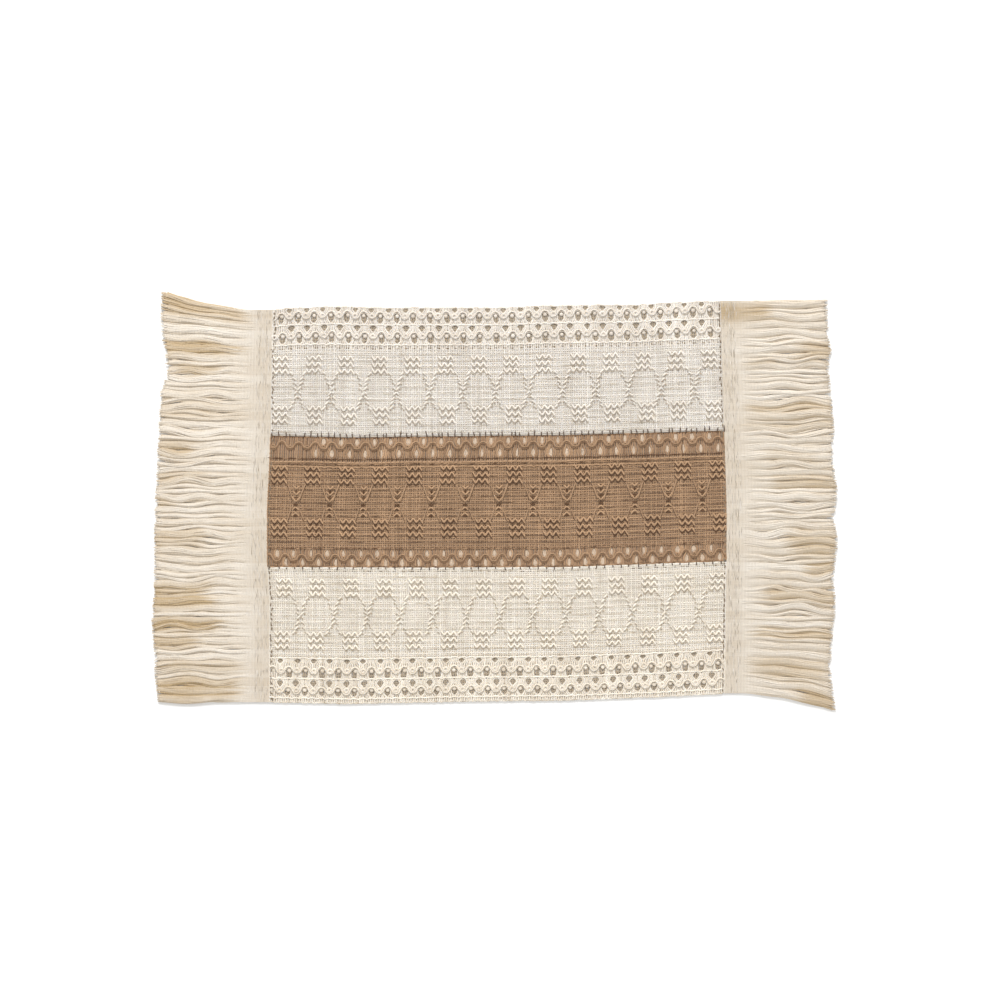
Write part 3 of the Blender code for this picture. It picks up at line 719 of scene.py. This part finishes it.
def makeNet(cloth, chance):
    # Thin threads under each opening, so that it isn't a bare gap: in the cream cloths darker threads,
    # painted shade in the hole, and in the brown cloth pale ones, a painted glow of the light through the
    # spot
    nets = Yarns()
    height, girth = laceYarn["netHeight"], cloth["netGirth"]
    inset = laceYarn["netInset"]

    def tone():
        return laceYarn["netShade"] + laceYarn["netTones"] * chance.normal()

    for u, vs, halves, _ in clothHoles(cloth):
        top, bottom, half = vs[0] + inset, vs[-1] - inset, halves.max()
        for share in cloth["netUprights"]:
            rise = np.linspace(bottom, top, 3)
            x, y = laid(cloth, u + share * half + noise(chance, 0.15 * mm, rise), rise)
            nets.add(x, y, height, girth, tone())
        for share in laceYarn["netRows"]:
            run = u + np.array([-1, 0, 1]) * (half + laceYarn["netOverlap"])
            x, y = laid(cloth, run, bottom + (top - bottom) * share + noise(chance, 0.2 * mm, run))
            nets.add(x, y, height - laceYarn["netDrop"], girth, tone())
    return nets.make("laceNet" + cloth["name"], laceYarn["netSides"], cloth["net"])


def makeLace(cloth):
    chance = np.random.default_rng(cloth["seed"] + 20)
    name, yarn = cloth["name"], cloth["yarn"]
    yarns = Yarns()
    bulbs, bulbSizes, beads = [], [], []
    for wave in cloth["waves"]:
        middle = cloth["width"] - wave["drop"]
        addWave(yarns, cloth, wave, chance)
        troughs = waveTurns(wave, "trough")
        for u in troughs + noise(chance, 0.2 * mm, troughs):
            v = middle + wave["bulb"] + 0.2 * mm * chance.normal()
            bulbs.append((*[float(a) for a in laid(cloth, u, v)], laceYarn["bulbHeight"]))
            bulbSizes.append(wave["bulbSize"] * chance.uniform(*laceYarn["bulbSizes"]))
        if wave["bead"] is not None:
            for u in waveTurns(wave, "crest"):
                v = middle + wave["bead"] * mm + 0.2 * mm * chance.normal()
                u = u + 0.25 * mm * chance.normal()
                beads.append((*[float(a) for a in laid(cloth, u, v)], laceYarn["beadHeight"]))
    addStraightCords(yarns, cloth, chance)
    pieces = [yarns.make("laceCord" + name, laceYarn["sides"], yarn)]
    shade = laceYarn["bulbShade"] + noise(chance, 0.06, bulbs)
    points = pointMesh("bulbPoints", bulbs, size=bulbSizes, shade=shade)
    sizes = {label: laceYarn["bulb" + label] for label in ("Radius", "Girth", "Steps", "Sides")}
    pieces.append(baked("laceBulb" + name, points, "loops", sizes, yarn))
    if beads:
        size = chance.uniform(*laceYarn["beadSizes"], len(beads))
        shade = laceYarn["beadShade"] + noise(chance, 0.07, beads)
        points = pointMesh("beadPoints", beads, size=size, shade=shade)
        sizes = {label: laceYarn["bead" + label] for label in ("Radius", "Flatness")}
        pieces.append(baked("laceBead" + name, points, "knots", sizes, yarn))
    return pieces + [makeNet(cloth, chance)]


# ---- raised figures: patches of three zigzag cords, and hourglasses between them
figureYarn = {
    "lines": 3, "linePitch": 4.95 * mm, "swing": 1.95 * mm, "swings": (0.8, 1.15), "halfLength": 5.9 * mm,
    "points": 6, "columns": 14, "columnStray": 0.35 * mm, "sides": 5,
    "girth": 0.70 * mm, "girths": (0.9, 1.08),
    # A dark thread under each cord, painted as its shadow: how far under and how high
    "height": 1.94 * mm, "groove": 1.60 * mm, "grooveShadowHeight": 1.72 * mm, "endHeight": 1.45 * mm,
    "rounding": 0.28, "tones": 0.05,
    # Chevrons of an hourglass: rise, half width and lift, and then its dark dots, painted shadow: rise and
    # half width, in mm
    "chevrons": [(-11.8, 2.2, 2.2), (-7.2, 2.8, 3.0), (-1.9, 3.3, 4.2), (1.9, 2.3, -2.2), (6.1, 2.7, -2.8)],
    "dots": [(-9.9, 0.8), (-5.3, 1.1), (0.2, 1.6), (3.8, 1.2), (8.7, 1.5)],
    "chevronGirth": 0.66 * mm, "dotGirth": 1.3,
    # Arms to the patches' corners: lean, then aside and rise of both ends, height and girth, in mm
    "arms": [(1, 6.6, -15.6, 2.2, -2.6, 1.78, 0.66), (-1, 6.4, -15.0, 2.6, -3.6, 1.68, 0.56),
             (-1, 3.2, 3.0, 6.2, 13.0, 1.62, 0.56), (1, 3.2, 4.0, 6.2, 12.0, 1.56, 0.52)],
    "armPoints": 5, "armShadowOffset": 1.3 * mm,
    "bars": 8, "barPitch": 3.7 * mm, "barWaist": 1.2 * mm, "barFlare": 21, "barAside": 1.25 * mm,
    "barRise": 1.3 * mm, "barReaches": (0.7, 1.1), "barGirth": 0.72 * mm, "barDot": 0.75 * mm,
    "barDotGirth": 1.6,
}


def roundedPath(corners, steps=4):
    # A path through the corners with its turns rounded
    corners = np.array(corners, float)
    spots = [corners[0]]
    for a, b, c in zip(corners, corners[1:], corners[2:]):
        start, end = b + (a - b) * figureYarn["rounding"], b + (c - b) * figureYarn["rounding"]
        for t in np.linspace(0, 1, steps):
            spots.append((1 - t) ** 2 * start + 2 * t * (1 - t) * b + t ** 2 * end)
    spots.append(corners[-1])
    return np.array(spots)


def addFigure(yarns, cloth, path, girth, height, shade, chance):
    # A cord lying on the cloth, whose ends dip into it
    x, y = laid(cloth, np.clip(path[:, 0], 1 * mm, mat["length"] - 1 * mm), path[:, 1])
    z = np.full(len(x), height)
    z[[0, -1]] = min(height, figureYarn["endHeight"])
    girth = girth * chance.uniform(*figureYarn["girths"])
    yarns.add(x, y, z, girth, shade + noise(chance, figureYarn["tones"], x))


def addStroke(yarns, cloth, path, girth, chance):
    # A pale cord of a figure
    addFigure(yarns, cloth, path, girth, figureYarn["height"], cloth["figureShade"], chance)


def addPaintedShadow(yarns, cloth, path, share, chance):
    # The low dark thread painted as the shadow under a cord
    girth, shade = cloth["groove"]
    addFigure(yarns, cloth, path, girth * share, figureYarn["grooveShadowHeight"], shade, chance)


def makePatch(yarns, cloth, centre, middle, chance):
    count = figureYarn["points"]
    for line in range(figureYarn["lines"]):
        v = middle + figureYarn["linePitch"] * (line - 1) + chance.normal(0, 0.15 * mm)
        us = centre + figureYarn["halfLength"] * np.linspace(-1, 1, count) + chance.normal(0, 0.25 * mm)
        swing = np.where(np.arange(count) % 2 == 0, 1, -1) * figureYarn["swing"]
        swing = swing * chance.uniform(*figureYarn["swings"], count)
        path = roundedPath(np.stack([us, v + swing], axis=1), 3)
        addStroke(yarns, cloth, path, figureYarn["girth"], chance)
        addPaintedShadow(yarns, cloth, path - [0, figureYarn["groove"]], 1.0, chance)


def makeChevrons(yarns, cloth, centre, waist, chance):
    # An hourglass of nested chevrons over dark dots of painted shadow, with a faint arm to each corner that
    # has a painted shadow thread under it
    for rise, half, lift in figureYarn["chevrons"]:
        tip, end = waist - rise * mm, waist - rise * mm + lift * mm
        path = roundedPath([(centre - half * mm, end), (centre, tip), (centre + half * mm, end)])
        addStroke(yarns, cloth, path, figureYarn["chevronGirth"], chance)
    for rise, half in figureYarn["dots"]:
        path = np.array([(centre + k * half * mm, waist - rise * mm) for k in (-1, 0, 1)])
        addPaintedShadow(yarns, cloth, path, figureYarn["dotGirth"], chance)
    share = np.linspace(0, 1, figureYarn["armPoints"])
    for lean, du, rise, duEnd, riseEnd, height, girth in figureYarn["arms"]:
        path = np.stack([centre + lean * (du + (duEnd - du) * share) * mm,
                         waist - (rise + (riseEnd - rise) * share) * mm], axis=1)
        addFigure(yarns, cloth, path, girth * mm, height * mm, cloth["shade"], chance)
        addPaintedShadow(yarns, cloth, path - [0, figureYarn["armShadowOffset"]], girth, chance)


def makeBars(yarns, cloth, centre, waist, chance):
    # An hourglass of steep strokes along one diagonal and thinner ones along the other, with dark dots
    # painted as their shadows
    for step in np.arange(figureYarn["bars"]) - (figureYarn["bars"] - 1) / 2:
        rise = figureYarn["barPitch"] * step
        aside = np.sign(rise) * (figureYarn["barWaist"] + figureYarn["barFlare"] * rise ** 2)
        for lean, size in ((1, 1.0), (-1, cloth["crossBack"])):
            u = centre + lean * aside + chance.normal(0, 0.4 * mm)
            v = waist + rise + chance.normal(0, 0.25 * mm)
            reach = size * chance.uniform(*figureYarn["barReaches"])
            across, up = lean * figureYarn["barAside"] * reach, figureYarn["barRise"] * reach
            path = np.array([(u - across, v - up), (u, v), (u + across, v + up)])
            addStroke(yarns, cloth, path, figureYarn["barGirth"] * size, chance)
            dot = figureYarn["barDot"] * size
            for place, drop in ((u - across * 0.4, up + 0.5 * mm), (u + across * 1.5, up * 0.3)):
                path = np.array([(place - dot, v - drop), (place + dot, v - drop)])
                addPaintedShadow(yarns, cloth, path, figureYarn["barDotGirth"], chance)


def makeFigures(cloth):
    chance = np.random.default_rng(cloth["seed"] + 40)
    yarns = Yarns()
    columns = []
    steps, stray = np.arange(figureYarn["columns"]), figureYarn["columnStray"]
    for drop, first in cloth["patches"]:
        centres = first * mm + cloth["columnPitch"] * steps + noise(chance, stray, steps)
        columns.append(centres)
        for centre in centres:
            makePatch(yarns, cloth, centre, cloth["width"] - drop * mm, chance)
    middles = np.mean(columns, axis=0)
    shape = makeChevrons if cloth["hourglass"] == "chevrons" else makeBars
    for left, right in zip(middles, middles[1:]):
        shape(yarns, cloth, (left + right) / 2, cloth["width"] - cloth["waist"] * mm, chance)
    return yarns.make("figures" + cloth["name"], figureYarn["sides"], cloth["yarn"])


# ---- stitches: dark dashes painted as the shade in gaps along the grooves, ticks along the seams, dots along the headings. Lengths in mm
stitchKinds = {
    "gap": {"reach": 3.2, "rise": 0.3, "girth": 0.5, "height": 1.0, "sizes": (0.7, 1.3), "turn": math.pi / 2,
            "sway": 0.08, "shade": 0.3},
    "tick": {"rise": 0.9, "girth": 0.42, "height": 1.15, "sizes": (0.6, 1.3), "turn": 0, "sway": 0.12,
             "shade": 0.5},
    "dot": {"reach": 2.3, "rise": 0.3, "girth": 0.55, "height": 1.45, "sizes": (0.6, 1.3), "turn": 0,
            "sway": 0.25, "shade": 0.3},
}
# Rows of ticks: the cloth, then v, pitch, reach and stray in mm
seamRows = {"seamStitchUpper": (clothUpper, 1.3, 4.6, 4.4, 0.9),
            "seamStitchLower": (clothCentre, -0.8, 6.27, 2.2, 0.5)}


def sewn(name, kind, x, y, thread, chance, reach=None):
    look = stitchKinds[kind]
    count = len(x)
    places = np.stack([x, y, np.full(count, look["height"] * mm)], axis=1)
    mesh = pointMesh(name + "Points", places, size=chance.uniform(*look["sizes"], count),
                     turn=look["turn"] + chance.normal(0, look["sway"], count), shade=look["shade"])
    sizes = {"Reach": (reach or look["reach"]) * mm, "Rise": look["rise"] * mm, "Girth": look["girth"] * mm}
    return baked(name, mesh, "stitches", sizes, thread)


def makeDashes(cloth):
    # Dark stitches along a groove: painted shade in its gaps
    chance = np.random.default_rng(cloth["seed"] + 80)
    us = np.arange(2 * mm, mat["length"] - 2 * mm, cloth["dashPitch"])
    us = us + noise(chance, 0.7 * mm, us)
    x, y = laid(cloth, us, cloth["width"] - cloth["dashDrop"] * mm + noise(chance, 0.2 * mm, us))
    return sewn("dashes" + cloth["name"], "gap", x, y, cloth["dashThread"], chance)


for cloth in (clothUpper, clothCentre, clothLower):
    sheet = makeSheet(cloth)
    others = [makeWeave(cloth), *makeLace(cloth), makeFigures(cloth), makeDashes(cloth)]
    claim([sheet, *others], cloth["node"])
    print("cloth", cloth["name"], "made")

seamChance = np.random.default_rng(60)
for name, (cloth, v, pitch, reach, stray) in seamRows.items():
    us = np.arange(2.5 * mm, mat["length"] - 2 * mm, pitch * mm)
    us = us + seamChance.normal(0, stray * mm, len(us))
    x, y = laid(cloth, us, v * mm + seamChance.normal(0, stray * mm / 2, len(us)))
    claim([sewn(name, "tick", x, y, "brownStitch", seamChance, reach)])
print("seams stitched")

# ---- headings: a narrow strip where the fringe's yarns lie side by side, crossed by a few fine rows
heading = {
    "heights": (0.85 * mm, 0.55 * mm), "inset": 0.2 * mm, "steps": 40,
    "ribHeight": 1.12 * mm, "ribShade": -0.12,
    "rows": [0.8, 1.7, 2.7, 3.6, 4.7, 5.6, 6.6, 7.6, 8.5, 9.5, 10.6], "rowPoints": 104, "rowSides": 4,
    "rowGirth": 0.28 * mm, "rowLift": 0.38 * mm, "rowLifts": (-0.5, 1.0), "rowShades": (0.1, 0.5),
    "dotPitch": 4.0 * mm, "dotAside": -2.2 * mm,
}
# Painted tan shade in the fringe: y of the roots and half width in mm, from and to along the strand,
# strength
sides = {
    "Left": {"node": "fringe_left", "sign": -1, "edge": leftEdge, "reach": leftReach, "stray": leftStray,
             "seed": 11,
             "tan": [(141, 6, 0.1, 1.1, 0.8), (114, 5, 0.2, 1.1, 0.9), (99, 3.5, 0.4, 0.9, 0.7),
                     (69, 8, 0.0, 1.1, 0.25), (40, 5, 0.65, 1.1, 0.75), (17, 5, 0.5, 1.1, 0.35),
                     (-3, 3, 0.8, 1.1, 0.6), (-30, 7, 0.45, 1.1, 0.5), (-73, 9, 0.45, 1.1, 1.0),
                     (-95, 5, 0.35, 1.1, 1.0), (-107, 4, 0.55, 1.1, 0.75), (-126, 4, 0.1, 1.1, 0.55),
                     (-143, 8, 0.15, 1.1, 0.85)]},
    "Right": {"node": "fringe_right", "sign": 1, "edge": rightEdge, "reach": rightReach, "stray": rightStray,
              "seed": 23,
              "tan": [(143, 6, -0.3, 0.3, 0.9), (113, 7, 0.7, 1.1, 0.75), (105, 3, 0.1, 0.4, 0.4),
                      (71, 4, 0.1, 1.1, 0.55), (60, 5, 0.0, 1.1, 0.35), (33, 4, 0.3, 0.8, 0.4),
                      (13, 4, 0.3, 1.1, 0.5), (-33, 11, 0.5, 1.1, 0.6), (-50, 4, 0.7, 1.1, 0.9),
                      (-72, 6, 0.25, 1.1, 0.55), (-100, 4, 0.15, 1.1, 0.7), (-126, 7, 0.1, 0.9, 0.5),
                      (-142, 5, 0.6, 1.1, 0.85)]},
}


def tanShadeAt(side, root, share):
    # How much painted tan shade a strand gets along its length
    across = [np.clip(1.5 - abs(root / mm - place) / half, 0, 1) for place, half, *_ in side["tan"]]
    lengths = [np.clip((share - start) / 0.15 + 0.5, 0, 1) * np.clip((end - share) / 0.15 + 0.5, 0, 1)
               for _, _, start, end, _ in side["tan"]]
    return np.max([a * b * row[4] for a, b, row in zip(across, lengths, side["tan"])], axis=0)


def headingX(side, y, inward):
    return along(side["edge"], y) + side["sign"] * (mat["gap"] + inward) + shiftX


def sideEnds(side):
    x = side["edge"][0][1]
    return float(along(bottomEdge, x)), float(along(topEdge, x))


def makeHeading(name, side):
    chance = np.random.default_rng(side["seed"])
    low, high = sideEnds(side)
    n, inset = heading["steps"], heading["inset"]
    ys = np.linspace(low + 0.3 * mm, high - 0.3 * mm, n)
    lines = [headingX(side, ys, inset), headingX(side, ys, mat["headingWidth"] - inset)][::side["sign"]]
    faces = [(i, n + i, n + i + 1, i + 1) for i in range(n - 1)]
    border = [0, *range(n, 2 * n), *range(n - 1, 0, -1)]
    edges = list(zip(border, border[1:] + border[:1]))
    strip = slab("heading" + name, np.concatenate(lines), np.tile(ys + shiftY, 2), faces, edges,
                 heading["heights"], "creamGround")

    yarns = Yarns()
    ys = np.linspace(low + 0.5 * mm, high - 0.5 * mm, heading["rowPoints"])
    for row in heading["rows"]:
        x = headingX(side, ys, row * mm) + noise(chance, 0.10 * mm + 0.02 * row * mm, ys)
        z = heading["ribHeight"] + heading["rowLift"] * chance.uniform(*heading["rowLifts"], len(ys))
        shade = chance.uniform(*heading["rowShades"]) + noise(chance, 0.25, ys)
        yarns.add(x, ys + shiftY, z, heading["rowGirth"], shade)
    rowPiece = yarns.make("headingRows" + name, heading["rowSides"], "creamYarn")

    ys = np.arange(low + 3 * mm, high - 2 * mm, heading["dotPitch"])
    ys = ys + noise(chance, 0.6 * mm, ys)
    x = headingX(side, ys, heading["dotAside"]) + noise(chance, 0.35 * mm, ys)
    return strip, rowPiece, sewn("dots" + name, "dot", x, ys + shiftY, "tanStitch", chance)


# ---- fringe: clumps of locks of loose yarn over a lower layer of straighter ones
fringe = {
    "locks": 96, "yarns": 6, "clump": (1, 2), "segments": 19, "sides": 5, "ribGirth": 0.40 * mm,
    "girth": 0.70 * mm, "tipGirth": 0.45, "height": 0.95 * mm, "dome": 1.05 * mm, "riseOver": 0.34,
    "draw": (-0.02, 0.13), "ownWave": (0.3, 1.3), "ownLength": (30, 75), "calmWidth": 16 * mm,
    "wander": (0.08, 0.30), "wanderLength": (22, 55), "ragged": 3.4 * mm,
    # Where each yarn starts in the heading, in mm and as shares of its length
    "ribs": (-0.8, 6.5), "ribShares": (-0.20, -0.10),
    "freeStart": -0.6 * mm, "clumpFree": (1.9, -3.6, 2.4), "yarnFree": (0.9, -1.6, 1.6),
    "shade": 0.78, "tanShadeDepth": 0.56, "edgeShade": 0.20, "clumpTones": 0.05, "clumpHeights": 0.22 * mm,
    # A lower layer of strands, a little darker than the locks: painted shade under them
    "underCount": 186, "underPoints": 10, "underGirth": 0.86 * mm, "underHeight": 0.90 * mm,
    "underPaintedShade": 0.62, "underStart": -1.2 * mm, "underShort": (2, 7),
    # Slow waves that neighbouring strands share: mm aside, lengths along and across, start
    "drifts": [(0.9, 62, 50, 0.10), (0.5, 40, -29, 0.45), (0.6, 88, 97, 0.80)],
}


def calmAt(side, root):
    # The outermost strands keep closer to the edge's line
    low, high = sideEnds(side)
    return np.clip(min(root - low, high - root) / fringe["calmWidth"], 0.2, 1)


def drifted(side, root, share, length):
    aside = sum(a * mm * ripple(share * length / (b * mm) + root / (c * mm), d)
                for a, b, c, d in fringe["drifts"])
    return root + calmAt(side, root) * aside * np.minimum(1, share / 0.4)


def strayed(side, root, share):
    return along(side["stray"], root) * share ** 1.6


def limited(chance, spread, low, high):
    return np.clip(chance.normal(0, spread), low, high) * mm


def lockGroups(chance):
    # The first and last yarn of each clump
    total = fringe["locks"] * fringe["yarns"]
    fewest, most = fringe["clump"]
    groups, start = [], 0
    while start < total:
        end = min(total, start + fringe["yarns"] * int(chance.integers(fewest, most + 1)))
        groups.append((start, end))
        start = end
    return groups


def addClump(yarns, side, start, end, chance):
    low, high = sideEnds(side)
    pitch = (high - low) / (fringe["locks"] * fringe["yarns"])
    loose = np.linspace(0, 1, fringe["segments"] + 1) ** 1.1
    rise = np.minimum(1, loose / fringe["riseOver"]) ** 0.8
    ribs, inHeading = np.array(fringe["ribs"]) * mm, np.zeros(len(fringe["ribs"]))
    middleRoot = low + pitch * (start + end) / 2
    wave = chance.uniform(*fringe["ownWave"]) * mm * calmAt(side, middleRoot)
    waveLength, waveStart = chance.uniform(*fringe["ownLength"]) * mm, chance.uniform()
    drawn, drawStart = chance.uniform(*fringe["draw"]), chance.uniform()
    clumpShade = chance.normal(0, fringe["clumpTones"])
    clumpHeight = chance.normal(0, fringe["clumpHeights"])
    clumpFree = limited(chance, *fringe["clumpFree"])
    for number in range(start, end):
        root = low + pitch * (number + 0.5)
        across = (number + 0.5 - start) / (end - start) * 2 - 1
        freeFrom = mat["headingWidth"] + fringe["freeStart"] + clumpFree
        freeFrom += limited(chance, *fringe["yarnFree"])
        full = abs(along(side["reach"], root) + shiftX - headingX(side, root, freeFrom))
        length = full - chance.uniform(0, fringe["ragged"])
        spread = 1 - drawn * rise * (1 + 0.6 * ripple(loose * 1.3, drawStart))
        own = wave * ripple(loose * full / waveLength, waveStart) * rise
        wanderLength = chance.uniform(*fringe["wanderLength"]) * mm
        wander = chance.uniform(*fringe["wander"]) * mm
        wander = wander * ripple(loose * full / wanderLength, chance.uniform())
        y = drifted(side, middleRoot, loose, full) + (root - middleRoot) * spread + own + wander * rise
        y = y + strayed(side, root, loose)
        level = fringe["height"] + clumpHeight + fringe["dome"] * (1 - across ** 2) ** 0.7
        level = level + 0.12 * mm * ripple(loose * chance.uniform(0.8, 2.2), chance.uniform())
        girth = fringe["ribGirth"] + (fringe["girth"] - fringe["ribGirth"]) * rise
        girth = girth * np.where(loose < 0.99, 1, fringe["tipGirth"])
        z = np.maximum(heading["ribHeight"] * (1 - rise) + level * rise, girth * 1.04)
        shares = np.concatenate([fringe["ribShares"], loose]) + chance.normal(0, 0.05)
        tanShadeAmount = tanShadeAt(side, root + chance.normal(0, 0.8 * mm), shares)
        # Painted tan shade, and each clump's own tone
        shade = fringe["shade"] + clumpShade + chance.normal(0, 0.03) - fringe["tanShadeDepth"] * tanShadeAmount
        # The side of a clump that faces away from the light is a little deeper in tone
        turned = abs(across) ** 1.8 if across > 0 else 1.8 * abs(across) ** 1.5
        shade[2:] -= rise * fringe["edgeShade"] * turned + 0.06 * loose
        shade[:2] += heading["ribShade"]
        x = headingX(side, root, freeFrom) + side["sign"] * length * loose
        yarns.add(np.concatenate([headingX(side, root, ribs), x]),
                  np.concatenate([root + inHeading, y]) + shiftY,
                  np.concatenate([heading["ribHeight"] + inHeading, z]),
                  np.concatenate([fringe["ribGirth"] + inHeading, girth]), shade)


def addUnderStrands(yarns, side, chance):
    low, high = sideEnds(side)
    count = fringe["underPoints"]
    share = np.linspace(0, 1, count)
    for strand in range(fringe["underCount"]):
        root = low + (high - low) * (strand + 0.5) / fringe["underCount"]
        start = headingX(side, root, mat["headingWidth"] + fringe["underStart"])
        short = chance.uniform(*fringe["underShort"]) * mm
        length = abs(along(side["reach"], root) + shiftX - start) - short
        y = drifted(side, root, share, length) + strayed(side, root, share) + noise(chance, 0.3 * mm, share)
        # Darker than the locks above: painted shade
        shade = fringe["underPaintedShade"] - fringe["tanShadeDepth"] * tanShadeAt(side, root, share)
        shade = shade + noise(chance, 0.08, share)
        full = np.minimum(1, 0.5 + share / 0.4)          # each starts thin, out of the heading
        yarns.add(start + side["sign"] * length * share, y + shiftY,
                  fringe["underHeight"] * (0.3 + 0.7 * full), fringe["underGirth"] * full, shade)


def makeFringe(name, side):
    chance = np.random.default_rng(side["seed"] + 5)
    yarns = Yarns()
    for start, end in lockGroups(chance):
        addClump(yarns, side, start, end, chance)
    addUnderStrands(yarns, side, chance)
    return yarns.make("fringe" + name, fringe["sides"], "fringeYarn")


for name, side in sides.items():
    strip, *others = makeHeading(name, side)
    others.append(makeFringe(name, side))
    claim([strip, *others], side["node"])
    print("fringe", name, "made")
